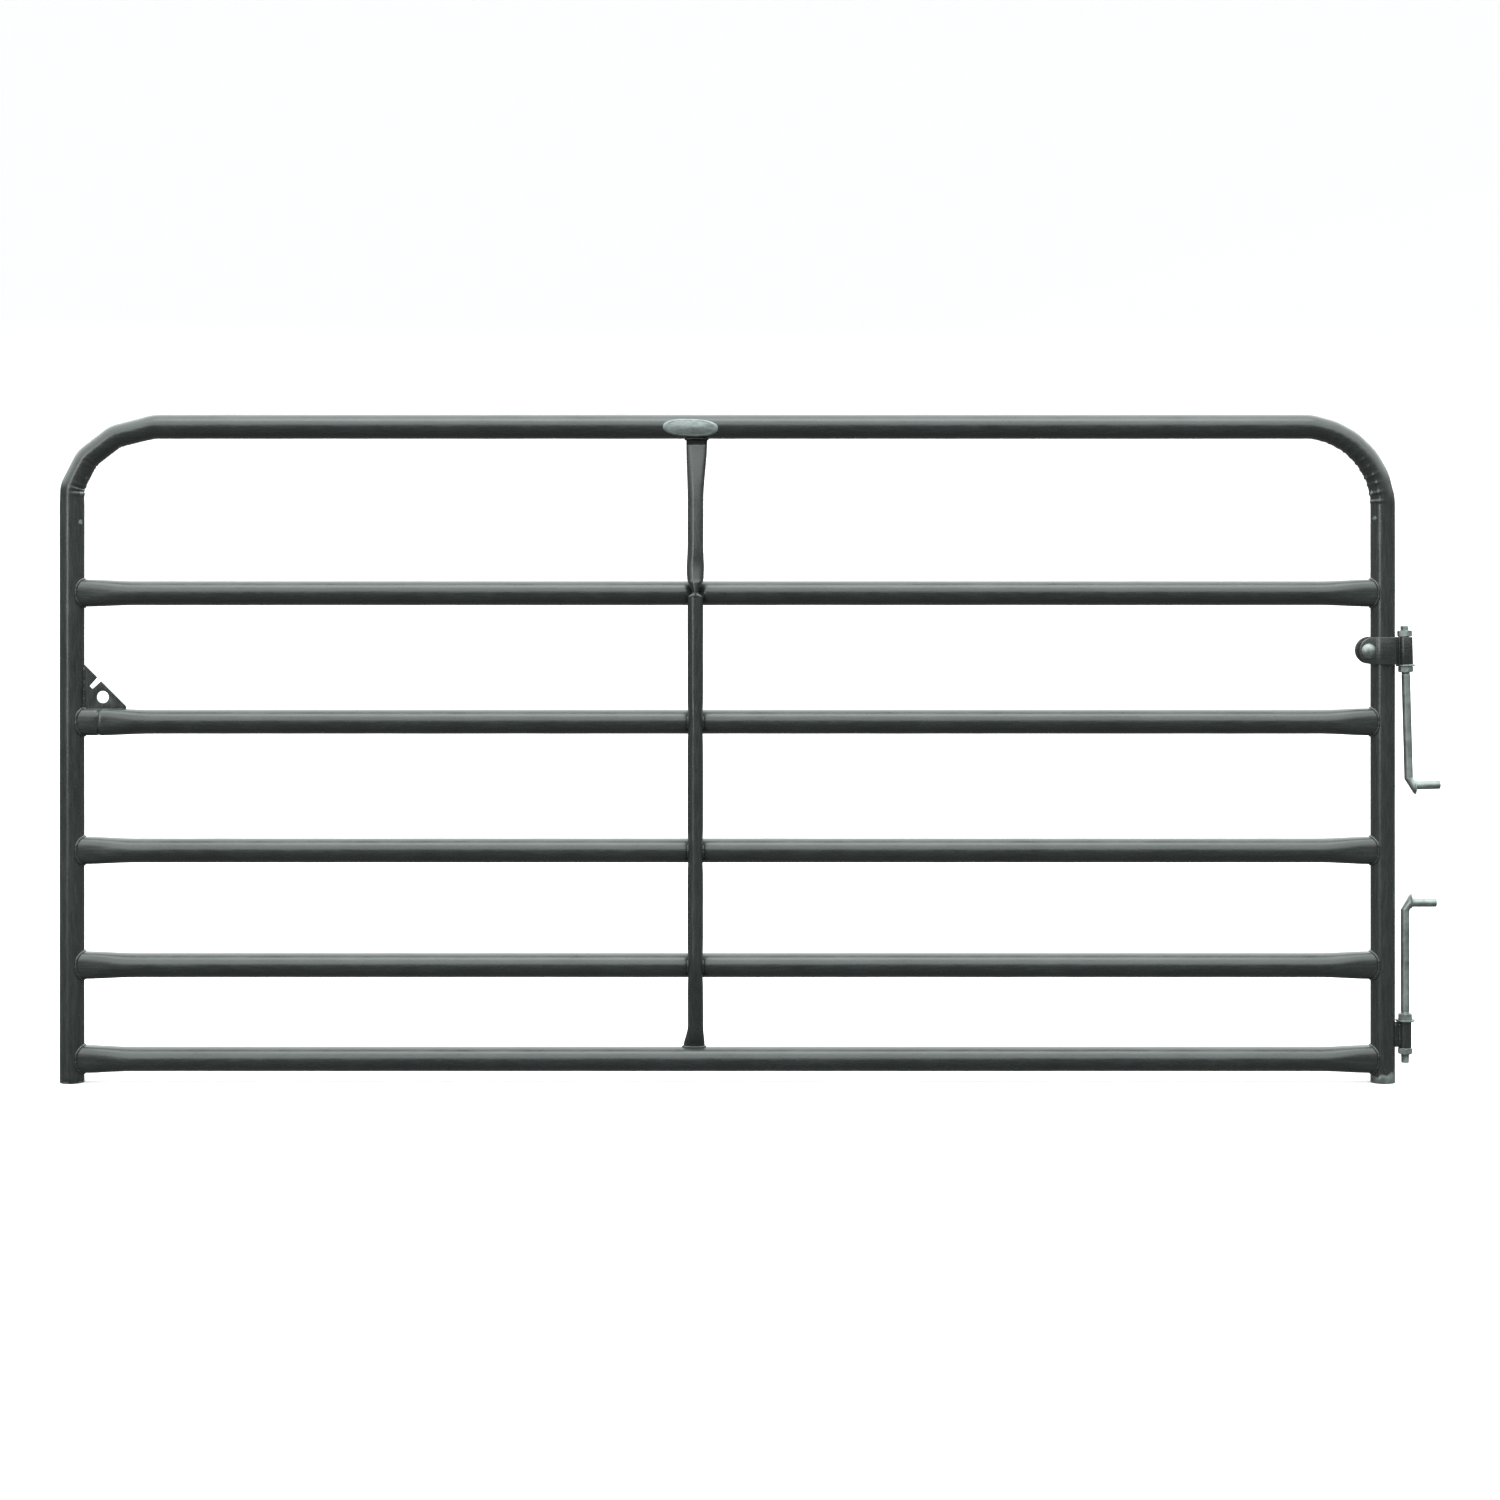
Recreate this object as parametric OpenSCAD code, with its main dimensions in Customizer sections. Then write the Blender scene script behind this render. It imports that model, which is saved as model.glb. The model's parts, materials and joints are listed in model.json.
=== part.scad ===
// Livestock panel gate: a bent round-tube frame with welded rails and a centre brace,
// hung on two hook bolts that are carried in a strap clamp and a welded barrel.
// Millimetres. +X runs along the gate towards the hinge side, +Z is up and the front faces -Y.
// The origin is the centre of the hinge leg's foot, and y = 0 is the middle of the panel.

/* [Overall size] */
// Width over the outsides of the two legs
gate_w = 2438; // [1500:1:4880]
// Height from the leg ends to the top of the frame
gate_h = 1219; // [1130:1:1600]
// Height of the bottom rail's underside above the leg ends
leg_drop = 20; // [10:1:60]

/* [Tube] */
// Outside diameter of the frame tube and the rails
tube_d = 44.45; // [38:0.05:54]
// Wall of the frame tube and the rails
tube_wall = 1.5; // [1.2:0.1:3]
// Centreline radius of the two top corner bends
bend_r = 150; // [120:1:190]
// Gap left for the weld wherever one tube or plate meets another
weld_gap = 0.15; // [0.1:0.05:0.5]

/* [Rail spacing] */
// Clear gap between the bottom rail and the fifth rail
gap_fifth = 127; // [90:1:180]
// Clear gap between the fifth rail and the fourth rail
gap_fourth = 165; // [120:1:220]
// Clear gap between the fourth rail and the third rail
gap_third = 190.5; // [170:0.5:240]
// Clear gap between the third rail and the second rail
gap_second = 190.5; // [170:0.5:240]

/* [Centre brace] */
// Outside diameter of the brace tube
brace_d = 28.6; // [22:0.1:32]
// Wall of the brace tube
brace_wall = 1.5; // [1.2:0.1:2]
// Distance from the gate's middle to the brace, towards the latch side
brace_shift = 58; // [0:1:200]
// Depth to which the brace is bedded into each rail that it crosses
brace_bed = 9; // [4:0.5:12]
// Thickness of the flattened top end of the brace
brace_top_t = 12.4; // [8:0.1:18]
// Thickness of the flattened bottom end of the brace
brace_foot_t = 8.7; // [6:0.1:18]
// Length over which the top end is flattened
brace_top_taper = 85; // [40:1:120]
// Length over which the bottom end is flattened
brace_foot_taper = 45; // [20:1:90]

/* [Name plate] */
// Length of the blank oval plate on the top rail
plate_w = 100; // [60:1:140]
// Height of the blank oval plate, measured straight across
plate_h = 31; // [20:0.5:34]
// Thickness of the blank oval plate
plate_t = 1.2; // [0.8:0.1:2]
// Distance from the brace's centre line to the plate's centre, towards the latch side
plate_shift = 9; // [0:1:60]

/* [Latch plate] */
// Length of the latch plate's two square sides
latch_leg = 83; // [70:1:120]
// Height of the latch plate's blunt tip
latch_tip = 6.5; // [3:0.5:12]
// Thickness of the latch plate
latch_t = 5; // [4:0.5:8]
// Diameter of the latch plate's hole
latch_hole_d = 22; // [14:0.5:26]
// Distance from the plate's sloping edge to the hole's centre
latch_hole_edge = 18.385; // [17:0.005:22]
// Distance along the sloping edge from its middle down to the hole's centre
latch_hole_along = 7.78; // [4:0.01:12]
// Width of the chain slot at its inner end
slot_w = 7.5; // [6:0.5:9]
// Width of the chain slot at its mouth
slot_mouth = 10; // [8:0.5:12]
// Depth of the chain slot from the plate's sloping edge
slot_depth = 21; // [14:0.5:24]
// Distance from the leg's inner side to the middle of the slot's mouth
slot_x = 27.5; // [22:0.5:34]

/* [Hook bolts] */
// Diameter of the hook bolts' rod
rod_d = 15.9; // [12:0.1:20]
// Length of a hook bolt from its threaded end to the far side of its pin
hook_len = 300; // [250:1:330]
// Reach of the pin's end from the axis of the shank
hook_reach = 57; // [45:1:70]
// Diameter of the forged shoulder at the foot of the pin
shoulder_d = 27.6; // [22:0.1:34]
// Thickness of the forged shoulder
shoulder_t = 3; // [2:0.1:5]
// Distance from the shank's axis to the shoulder's outer face
shoulder_x = 12; // [10:0.1:16]
// Distance by which the shoulder is set from the pin's axis towards the heel
shoulder_drop = 3; // [0:0.1:5]
// Chamfer at both ends of a hook bolt
rod_chamfer = 1.2; // [0.5:0.1:3]
// Radial clearance of a hook bolt in its eye or barrel
eye_clear = 0.4; // [0.3:0.05:1]
// Across-flats size of the hook bolts' nuts
nut_af = 23.8; // [19:0.1:27]
// Thickness of the hook bolts' nuts
nut_h = 11; // [8:0.5:16]
// Diameter of the hook bolts' washers
washer_d = 35; // [28:0.5:36]
// Thickness of the hook bolts' washers
washer_t = 3; // [2:0.1:4]
// Smallest gap between the hinge leg and the hook bolts' washers
washer_clear = 1.275; // [1:0.005:20]
// Play left between a nut or washer and the eye or barrel that it faces
face_play = 0.3; // [0.3:0.1:1]

/* [Strap clamp] */
// Height of the strap clamp's middle above the third rail's centre
clamp_rise = 130; // [100:1:140]
// Width of the strap, which is the clamp's height
strap_h = 50; // [38:0.5:60]
// Thickness of the strap
strap_t = 5.5; // [4:0.1:6]
// Radial clearance of the strap around the hinge leg
strap_clear = 0.4; // [0.3:0.05:1]
// Height of the ears' outer faces above the wrap where the clamp bolt's head ends
ear_proud = 0.2; // [0.1:0.1:3]
// Distance from the clamp bolt's axis to the ears' ends
ear_end = 16; // [14:0.5:30]
// Lean of the eye and its hook bolt, whose foot stands away from the leg
eye_lean = 1.6; // [0:0.1:3]
// Length of the upper hook bolt's thread that stands above its top nut
upper_thread = 8.8; // [3:0.1:30]
// Diameter of the clamp bolt
clamp_bolt_d = 12.7; // [10:0.1:14]
// Diameter of the clamp bolt's domed head
clamp_head_d = 26.5; // [22:0.5:32]
// Height of the clamp bolt's domed head
clamp_head_h = 6.5; // [4:0.1:9]
// Clearance of the clamp bolt from the leg that it passes behind
clamp_bolt_clear = 1.7; // [0.4:0.1:4]
// Across-flats size of the clamp bolt's nut
clamp_nut_af = 19; // [16:0.1:22]
// Thickness of the clamp bolt's nut
clamp_nut_h = 11; // [8:0.5:14]
// Length of the clamp bolt's thread that stands past its nut
clamp_stick = 7; // [3:0.5:20]

/* [Weld-on barrel] */
// Wall of the barrel on the hinge leg
barrel_wall = 3.15; // [2.5:0.05:5]
// Length of the barrel
barrel_len = 48; // [36:0.5:60]
// Height of the barrel's middle above the bottom rail's centre
barrel_rise = 45; // [40:0.5:80]
// Thickness of the tab between the leg and the barrel
tab_t = 9.5; // [6:0.5:14]
// Amount by which the tab is shorter than the barrel at each end
tab_inset = 1.5; // [0:0.5:6]
// Length of the lower hook bolt's thread that stands below its bottom nut
lower_thread = 16.2; // [3:0.1:30]

/* [Hidden] */

$fn = 96;
EPS = 0.01;
FAR = 10 * tube_d;

tube_r = tube_d / 2;
leg_span = gate_w - tube_d;
latch_leg_x = -leg_span;
top_z = gate_h - tube_r;
bottom_z = leg_drop + tube_r;
fifth_z = bottom_z + tube_d + gap_fifth;
fourth_z = fifth_z + tube_d + gap_fourth;
third_z = fourth_z + tube_d + gap_third;
second_z = third_z + tube_d + gap_second;

brace_r = brace_d / 2;
brace_x = -leg_span / 2 - brace_shift;
brace_out = tube_r + brace_r - brace_bed;
brace_top_z = top_z - tube_r - weld_gap;
brace_foot_z = bottom_z + tube_r + weld_gap;
brace_top_lean = atan(brace_out / (brace_top_z - second_z));
brace_foot_lean = atan(brace_out / (fifth_z - brace_foot_z));
brace_top_w = flattened_w(brace_top_t);
brace_foot_w = flattened_w(brace_foot_t);
// Sides of the brace's cross-section and steps along its two tapered ends
BRACE_SIDES = 24;
TAPER_STEPS = 8;

rod_r = rod_d / 2;
eye_r = rod_r + eye_clear;
hinge_offset = tube_r + washer_clear + washer_d / 2;
clamp_z = third_z + clamp_rise;
clamp_bolt_x = -(tube_r + clamp_bolt_d / 2 + clamp_bolt_clear);
wrap_r = tube_r + strap_clear;
wrap_outer = wrap_r + strap_t;
// The ears are drawn in towards each other, but not so far that the bolt's head meets the wrap
head_edge_x = clamp_bolt_x + clamp_head_d / 2;
ear_outer = sqrt(wrap_outer * wrap_outer - head_edge_x * head_edge_x) + ear_proud;
barrel_r = eye_r + barrel_wall;
barrel_z = bottom_z + barrel_rise;
barrel_top = barrel_len / 2 + face_play;
eye_top = strap_h / 2 + face_play;
// The upper hook bolt's nuts lean with it, so the top nut stands clear of the strap's level top
nut_corner_r = nut_af / 2 / cos(30);
upper_nut_seat = eye_top + nut_corner_r * tan(eye_lean);
// Heights of the hook bolts' threaded ends above the middles of their eye and barrel
upper_stick = upper_nut_seat + nut_h + upper_thread;
lower_stick = barrel_top + nut_h + lower_thread;

PAINT = [0.20, 0.22, 0.22];
ZINC = [0.68, 0.71, 0.70];

// A round bar along Z from z = 0
module bar(r, h) {
  cylinder(r = r, h = h);
}

// A quarter bend of round bar in the XZ plane, starting upwards and ending along +X
module bend(r) {
  translate([bend_r, 0, 0])
    rotate([90, 0, 0])
      rotate([0, 0, 90])
        rotate_extrude(angle = 90)
          translate([bend_r, 0])
            circle(r = r);
}

// The frame's outline as solid bar of the given radius
module frame_bar(r, end_over) {
  leg_top = top_z - bend_r;
  translate([latch_leg_x, 0, -end_over])
    bar(r, leg_top + end_over);
  translate([0, 0, -end_over])
    bar(r, leg_top + end_over);
  translate([latch_leg_x, 0, leg_top])
    bend(r);
  translate([0, 0, leg_top])
    mirror([1, 0, 0])
      bend(r);
  translate([latch_leg_x + bend_r, 0, top_z])
    rotate([0, 90, 0])
      bar(r, leg_span - 2 * bend_r);
}

module frame_tube() {
  color(PAINT)
    difference() {
      frame_bar(tube_r, 0);
      frame_bar(tube_r - tube_wall, 1);
    }
}

// The space that the brace takes where it crosses the rails, widened by the given amount
module brace_space(extra) {
  space_r = brace_r + extra;
  translate([brace_x, -brace_out, 0]) {
    bar(space_r, gate_h);
    translate([0, 0, second_z])
      rotate([-brace_top_lean, 0, 0])
        translate([0, 0, -2 * tube_d])
          bar(space_r, 4 * tube_d);
    translate([0, 0, fifth_z])
      rotate([brace_foot_lean, 0, 0])
        translate([0, 0, -2 * tube_d])
          bar(space_r, 4 * tube_d);
  }
}

// A rail between the two legs, coped to them and dented where the brace is bedded in
module rail(z, bedded) {
  difference() {
    translate([latch_leg_x, 0, z])
      rotate([0, 90, 0])
        bar(tube_r, leg_span);
    difference() {
      translate([latch_leg_x - 1, 0, z])
        rotate([0, 90, 0])
          bar(tube_r - tube_wall, leg_span + 2);
      if (bedded) brace_space(weld_gap + tube_wall);
    }
    if (bedded) brace_space(weld_gap);
    for (x = [latch_leg_x, 0])
      translate([x, 0, 0])
        bar(tube_r + weld_gap, gate_h);
  }
}

module second_rail() {
  color(PAINT) rail(second_z, true);
}

module third_rail() {
  color(PAINT) rail(third_z, true);
}

module fourth_rail() {
  color(PAINT) rail(fourth_z, true);
}

module fifth_rail() {
  color(PAINT) rail(fifth_z, true);
}

module bottom_rail() {
  color(PAINT) rail(bottom_z, false);
}

// How far the brace stands in front of the panel's middle at height z
function brace_y(z) =
  z > second_z ? -brace_out * (brace_top_z - z) / (brace_top_z - second_z)
  : z < fifth_z ? -brace_out * (z - brace_foot_z) / (fifth_z - brace_foot_z)
  : -brace_out;

// How flat the brace is at height z: 0 is round and 1 is fully flattened, eased at both ends
function ease(t) = t <= 0 ? 0 : t >= 1 ? 1 : t * t * (3 - 2 * t);
function brace_half_w(z) =
  brace_r
  + (brace_top_w / 2 - brace_r) * ease(1 - (brace_top_z - z) / brace_top_taper)
  + (brace_foot_w / 2 - brace_r) * ease(1 - (z - brace_foot_z) / brace_foot_taper);

// Flattening keeps the tube's girth, so the width and the thickness follow from each other
function flattened_w(thickness) = 2 * sqrt(2 * brace_r * brace_r - thickness * thickness / 4);
function brace_half_t(half_w) = flattened_w(2 * half_w) / 2;

brace_levels = concat(
  [for (i = [0 : TAPER_STEPS]) brace_foot_z + brace_foot_taper * i / TAPER_STEPS],
  [fifth_z, second_z],
  [for (i = [0 : TAPER_STEPS]) brace_top_z - brace_top_taper * (1 - i / TAPER_STEPS)]
);

// One ring of the brace's outer or inner surface
function brace_ring(z, inset) =
  let (half_w = brace_half_w(z), half_t = brace_half_t(half_w))
    [for (i = [0 : BRACE_SIDES - 1])
      let (a = 360 * i / BRACE_SIDES)
        [(half_w - inset) * cos(a), brace_y(z) + (half_t - inset) * sin(a), z]];

module centre_brace() {
  rings = len(brace_levels);
  inner = rings * BRACE_SIDES;
  points = concat(
    [for (z = brace_levels) each brace_ring(z, 0)],
    [for (z = brace_levels) each brace_ring(z, brace_wall)]
  );
  outer_faces = [
    for (k = [0 : rings - 2], i = [0 : BRACE_SIDES - 1])
      let (a = k * BRACE_SIDES + i, b = k * BRACE_SIDES + (i + 1) % BRACE_SIDES)
        each [[a, a + BRACE_SIDES, b], [b, a + BRACE_SIDES, b + BRACE_SIDES]]
  ];
  inner_faces = [
    for (f = outer_faces)
      [inner + f[0], inner + f[2], inner + f[1]]
  ];
  end_faces = [
    for (i = [0 : BRACE_SIDES - 1])
      let (j = (i + 1) % BRACE_SIDES, top = (rings - 1) * BRACE_SIDES)
        each [
          [i, j, inner + i],
          [j, inner + j, inner + i],
          [top + i, inner + top + i, top + j],
          [top + j, inner + top + i, inner + top + j]
        ]
  ];
  color(PAINT)
    difference() {
      translate([brace_x, 0, 0])
        polyhedron(points = points, faces = concat(outer_faces, inner_faces, end_faces));
      for (z = [top_z, bottom_z])
        translate([brace_x - brace_d, 0, z])
          rotate([0, 90, 0])
            bar(tube_r + weld_gap, 2 * brace_d);
    }
}

// The blank oval plate wraps around the front of the top rail
module name_plate() {
  inner_r = tube_r + weld_gap;
  outline = [
    for (i = [0 : 63])
      let (a = 360 * i / 64)
        [plate_w / 2 * cos(a), plate_h / 2 * sin(a)]
  ];
  color(ZINC)
    intersection() {
      translate([brace_x - plate_shift, 0, top_z])
        rotate([90, 0, 0])
          linear_extrude(tube_d)
            polygon(outline);
      translate([brace_x - plate_shift - plate_w, 0, top_z])
        rotate([0, 90, 0])
          difference() {
            bar(inner_r + plate_t, 2 * plate_w);
            translate([0, 0, -1])
              bar(inner_r, 2 * plate_w + 2);
          }
    }
}

// The latch plate fills the corner between the latch leg and the third rail
module latch_plate() {
  inner_x = latch_leg_x + tube_r;
  rail_top = third_z + tube_r;
  slot_z = latch_leg - slot_x;
  // The sloping edge runs at 45 degrees, from which the hole's centre is measured
  hole_x = latch_leg / 2 + (latch_hole_along - latch_hole_edge) / sqrt(2);
  hole_z = latch_leg / 2 - (latch_hole_along + latch_hole_edge) / sqrt(2);
  outline = [
    [-tube_r, -tube_r],
    [latch_leg - latch_tip, -tube_r],
    [latch_leg - latch_tip, latch_tip],
    [0, latch_leg],
    [-tube_r, latch_leg]
  ];
  slot = [
    [-slot_depth, -slot_w / 2],
    [-slot_depth, slot_w / 2],
    [0, slot_mouth / 2],
    [slot_mouth, slot_mouth / 2],
    [slot_mouth, -slot_mouth / 2],
    [0, -slot_mouth / 2]
  ];
  color(PAINT)
    difference() {
      translate([inner_x, latch_t / 2, rail_top])
        rotate([90, 0, 0])
          linear_extrude(latch_t)
            difference() {
              polygon(outline);
              translate([slot_x, slot_z])
                rotate(45)
                  polygon(slot);
              translate([hole_x, hole_z])
                circle(d = latch_hole_d);
            }
      translate([latch_leg_x, 0, 0])
        bar(tube_r + weld_gap, gate_h);
      translate([latch_leg_x, 0, third_z])
        rotate([0, 90, 0])
          bar(tube_r + weld_gap, leg_span);
    }
}

module hinge_barrel() {
  color(PAINT)
    translate([hinge_offset, 0, barrel_z - barrel_len / 2])
      difference() {
        bar(barrel_r, barrel_len);
        translate([0, 0, -1])
          bar(eye_r, barrel_len + 2);
      }
}

module barrel_tab() {
  tab_len = barrel_len - 2 * tab_inset;
  color(PAINT)
    difference() {
      translate([0, -tab_t / 2, barrel_z - tab_len / 2])
        cube([hinge_offset, tab_t, tab_len]);
      bar(tube_r + weld_gap, gate_h);
      translate([hinge_offset, 0, 0])
        bar(barrel_r + weld_gap, gate_h);
    }
}

// Moves what is drawn on the Z axis onto the upper hook bolt's leaning axis
module at_upper_eye() {
  translate([hinge_offset, 0, clamp_z])
    rotate([0, -eye_lean, 0])
      children();
}

// Moves what is drawn on the Z axis into the barrel, upside down
module at_barrel() {
  translate([hinge_offset, 0, barrel_z])
    rotate([180, 0, 0])
      children();
}

module hinge_strap() {
  eye_outer = eye_r + strap_t;
  ear_x = clamp_bolt_x - ear_end;
  color(PAINT)
    difference() {
      union() {
        intersection() {
          translate([0, 0, clamp_z - strap_h / 2])
            linear_extrude(strap_h) {
              circle(r = wrap_outer);
              translate([ear_x, -ear_outer])
                square([-ear_x, 2 * ear_outer]);
              translate([0, -strap_t])
                square([hinge_offset, 2 * strap_t]);
            }
          translate([ear_x + strap_h / 2, FAR, clamp_z])
            rotate([90, 0, 0])
              linear_extrude(2 * FAR) {
                circle(d = strap_h);
                translate([0, -strap_h / 2])
                  square([2 * hinge_offset, strap_h]);
              }
        }
        at_upper_eye()
          translate([0, 0, -strap_h / 2])
            bar(eye_outer, strap_h);
      }
      bar(wrap_r, gate_h);
      translate([-FAR, strap_t - ear_outer, 0])
        cube([FAR, 2 * (ear_outer - strap_t), gate_h]);
      at_upper_eye()
        translate([0, 0, -strap_h])
          bar(eye_r, 2 * strap_h);
      translate([clamp_bolt_x, 2 * ear_outer, clamp_z])
        rotate([90, 0, 0])
          bar(clamp_bolt_d / 2 + eye_clear, 4 * ear_outer);
    }
}

// Moves what is drawn on the Z axis onto the clamp bolt's axis, from its head towards the back
module at_clamp_bolt() {
  translate([clamp_bolt_x, -ear_outer, clamp_z])
    rotate([-90, 0, 0])
      children();
}

module clamp_bolt() {
  // The domed head is a slice of a ball that has the head's diameter at its foot
  head_r = clamp_head_d / 2;
  ball_r = (head_r * head_r + clamp_head_h * clamp_head_h) / (2 * clamp_head_h);
  color(ZINC)
    at_clamp_bolt() {
      bar(clamp_bolt_d / 2, 2 * ear_outer + clamp_nut_h + clamp_stick);
      intersection() {
        translate([0, 0, ball_r - clamp_head_h - weld_gap])
          sphere(r = ball_r);
        translate([0, 0, -clamp_head_h - weld_gap])
          bar(head_r, clamp_head_h);
      }
      translate([0, 0, -weld_gap - EPS])
        bar(clamp_bolt_d / 2, clamp_head_h / 2);
    }
}

// A hex nut with its lower face at z = 0 and its upper corners chamfered
module hex_nut(af, h, hole_r) {
  corner_r = af / 2 / cos(30);
  chamfer = (corner_r - af / 2) * tan(30);
  difference() {
    intersection() {
      cylinder(r = corner_r, h = h, $fn = 6);
      union() {
        bar(corner_r + EPS, h - chamfer);
        translate([0, 0, h - chamfer])
          cylinder(r1 = corner_r + EPS, r2 = af / 2, h = chamfer);
      }
    }
    translate([0, 0, -1])
      bar(hole_r, h + 2);
  }
}

module clamp_nut() {
  color(ZINC)
    at_clamp_bolt()
      translate([0, 0, 2 * ear_outer + weld_gap])
        hex_nut(clamp_nut_af, clamp_nut_h, clamp_bolt_d / 2 + weld_gap);
}

// A length of the hook bolts' rod along Z from z = 0, chamfered at its far end
module chamfered_bar(h) {
  bar(rod_r, h - rod_chamfer);
  translate([0, 0, h - rod_chamfer])
    cylinder(r1 = rod_r, r2 = rod_r - rod_chamfer, h = rod_chamfer);
}

// A hook bolt whose shank stands on the Z axis, threaded end up, with its pin along +X.
// The threaded end is stick above z = 0.
module hook_bolt(stick) {
  pin_z = stick - hook_len + rod_r;
  heel_z = pin_z - shoulder_d / 2 - shoulder_drop;
  translate([0, 0, pin_z])
    chamfered_bar(stick - pin_z);
  translate([0, 0, pin_z])
    rotate([0, 90, 0])
      chamfered_bar(hook_reach);
  // The forged heel fills the outside of the corner down to the shoulder's edge
  translate([0, rod_r * 0.75, 0])
    rotate([90, 0, 0])
      linear_extrude(rod_r * 1.5)
        polygon([
          [-rod_r * 0.7, pin_z + rod_r * 1.4],
          [0, pin_z + rod_r * 1.4],
          [shoulder_x, pin_z + rod_r * 0.6],
          [shoulder_x, heel_z],
          [shoulder_x - shoulder_t, heel_z],
          [-rod_r * 0.7, pin_z + rod_r * 0.6]
        ]);
  translate([shoulder_x - shoulder_t, 0, heel_z + shoulder_d / 2])
    rotate([0, 90, 0])
      bar(shoulder_d / 2, shoulder_t);
}

module upper_hook_bolt() {
  color(ZINC)
    at_upper_eye()
      hook_bolt(upper_stick);
}

module upper_hook_top_nut() {
  color(ZINC)
    at_upper_eye()
      translate([0, 0, upper_nut_seat])
        hex_nut(nut_af, nut_h, rod_r + weld_gap);
}

// A flat washer with its lower face at z = 0
module washer() {
  difference() {
    bar(washer_d / 2, washer_t);
    translate([0, 0, -1])
      bar(rod_r + eye_clear, washer_t + 2);
  }
}

module upper_hook_washer() {
  color(ZINC)
    at_upper_eye()
      mirror([0, 0, 1])
        translate([0, 0, eye_top])
          washer();
}

module upper_hook_bottom_nut() {
  color(ZINC)
    at_upper_eye()
      mirror([0, 0, 1])
        translate([0, 0, eye_top + washer_t + weld_gap])
          hex_nut(nut_af, nut_h, rod_r + weld_gap);
}

// The lower hook bolt stands in the barrel with its threaded end down
module lower_hook_bolt() {
  color(ZINC)
    at_barrel()
      hook_bolt(lower_stick);
}

module lower_hook_bottom_nut() {
  color(ZINC)
    at_barrel()
      translate([0, 0, barrel_top])
        hex_nut(nut_af, nut_h, rod_r + weld_gap);
}

module lower_hook_washer() {
  color(ZINC)
    at_barrel()
      mirror([0, 0, 1])
        translate([0, 0, barrel_top])
          washer();
}

module lower_hook_top_nut() {
  color(ZINC)
    at_barrel()
      mirror([0, 0, 1])
        translate([0, 0, barrel_top + washer_t + weld_gap])
          hex_nut(nut_af, nut_h, rod_r + weld_gap);
}

frame_tube();
second_rail();
third_rail();
fourth_rail();
fifth_rail();
bottom_rail();
centre_brace();
name_plate();
latch_plate();
hinge_barrel();
barrel_tab();
hinge_strap();
clamp_bolt();
clamp_nut();
upper_hook_bolt();
upper_hook_top_nut();
upper_hook_washer();
upper_hook_bottom_nut();
lower_hook_bolt();
lower_hook_top_nut();
lower_hook_washer();
lower_hook_bottom_nut();
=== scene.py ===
"""Looks of the livestock panel gate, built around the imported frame. Lengths are in metres."""

import json
import math

import bmesh
import bpy
import numpy as np
from mathutils import Matrix, Vector, noise


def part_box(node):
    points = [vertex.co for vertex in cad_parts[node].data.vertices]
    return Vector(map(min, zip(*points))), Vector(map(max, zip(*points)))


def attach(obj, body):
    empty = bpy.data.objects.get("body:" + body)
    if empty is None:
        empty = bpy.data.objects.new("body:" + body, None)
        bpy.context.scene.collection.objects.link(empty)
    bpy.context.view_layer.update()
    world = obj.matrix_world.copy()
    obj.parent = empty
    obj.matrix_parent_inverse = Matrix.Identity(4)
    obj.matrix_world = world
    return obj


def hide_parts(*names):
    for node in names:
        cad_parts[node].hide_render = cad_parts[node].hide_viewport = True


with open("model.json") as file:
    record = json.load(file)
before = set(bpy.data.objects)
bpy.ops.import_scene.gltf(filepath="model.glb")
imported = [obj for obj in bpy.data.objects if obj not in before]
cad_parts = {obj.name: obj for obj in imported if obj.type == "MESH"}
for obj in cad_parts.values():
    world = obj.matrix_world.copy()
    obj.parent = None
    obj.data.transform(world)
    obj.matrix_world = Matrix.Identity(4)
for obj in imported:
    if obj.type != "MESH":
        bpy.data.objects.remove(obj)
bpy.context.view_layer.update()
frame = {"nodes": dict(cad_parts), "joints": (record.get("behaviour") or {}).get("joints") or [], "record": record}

MM = 0.001

# ------------------------ sizes that the frame gives


def middle(node):
    lo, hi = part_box(node)
    return (lo + hi) / 2


def mount_place(name):
    found = [m for m in frame["record"]["mounts"] if m["name"] == name]
    return Vector(found[0]["pos_m"])


def joint_place(name):
    found = [j for j in frame["joints"] if j["name"] == name]
    return Vector(found[0]["pos_m"])


FRAME_LO, FRAME_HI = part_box("frame_tube")
TUBE_R = (FRAME_HI.y - FRAME_LO.y) / 2
LATCH_X = FRAME_LO.x + TUBE_R
HINGE_X = FRAME_HI.x - TUBE_R
TOP_Z = FRAME_HI.z - TUBE_R
RAILS = ("second_rail", "third_rail", "fourth_rail", "fifth_rail", "bottom_rail")
RAIL_Z = {name: middle(name).z for name in RAILS}
BRACE_X = middle("centre_brace").x
BRACE_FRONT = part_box("centre_brace")[0].y

# ------------------------ sizes of the details

TUBE_WALL = 1.5 * MM
BEND_R = 150 * MM
BRACE_R = 14.3 * MM
BRACE_OUT = -BRACE_FRONT - BRACE_R
STRAP_T = 5.5 * MM
STRAP_CLEAR = 0.4 * MM
STRAP_HALF_H = 25 * MM
NUT_GAP = 0.15 * MM
EAR_OUTER = 22.587 * MM
ROD_R = 7.95 * MM
EYE_R = 8.35 * MM
HOOK_LEN = 300 * MM
HOOK_REACH = 57 * MM
EYE_LEAN = math.radians(1.6)
NUT_AF = 23.8 * MM
NUT_H = 11 * MM
WASHER_R = 17.5 * MM
WASHER_T = 3 * MM
THREAD_PITCH = 2.31 * MM
THREAD_DEPTH = 1.05 * MM

# Points round each tube
AROUND = 48


def ease(t):
    t = min(max(t, 0.0), 1.0)
    return t * t * (3 - 2 * t)


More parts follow.
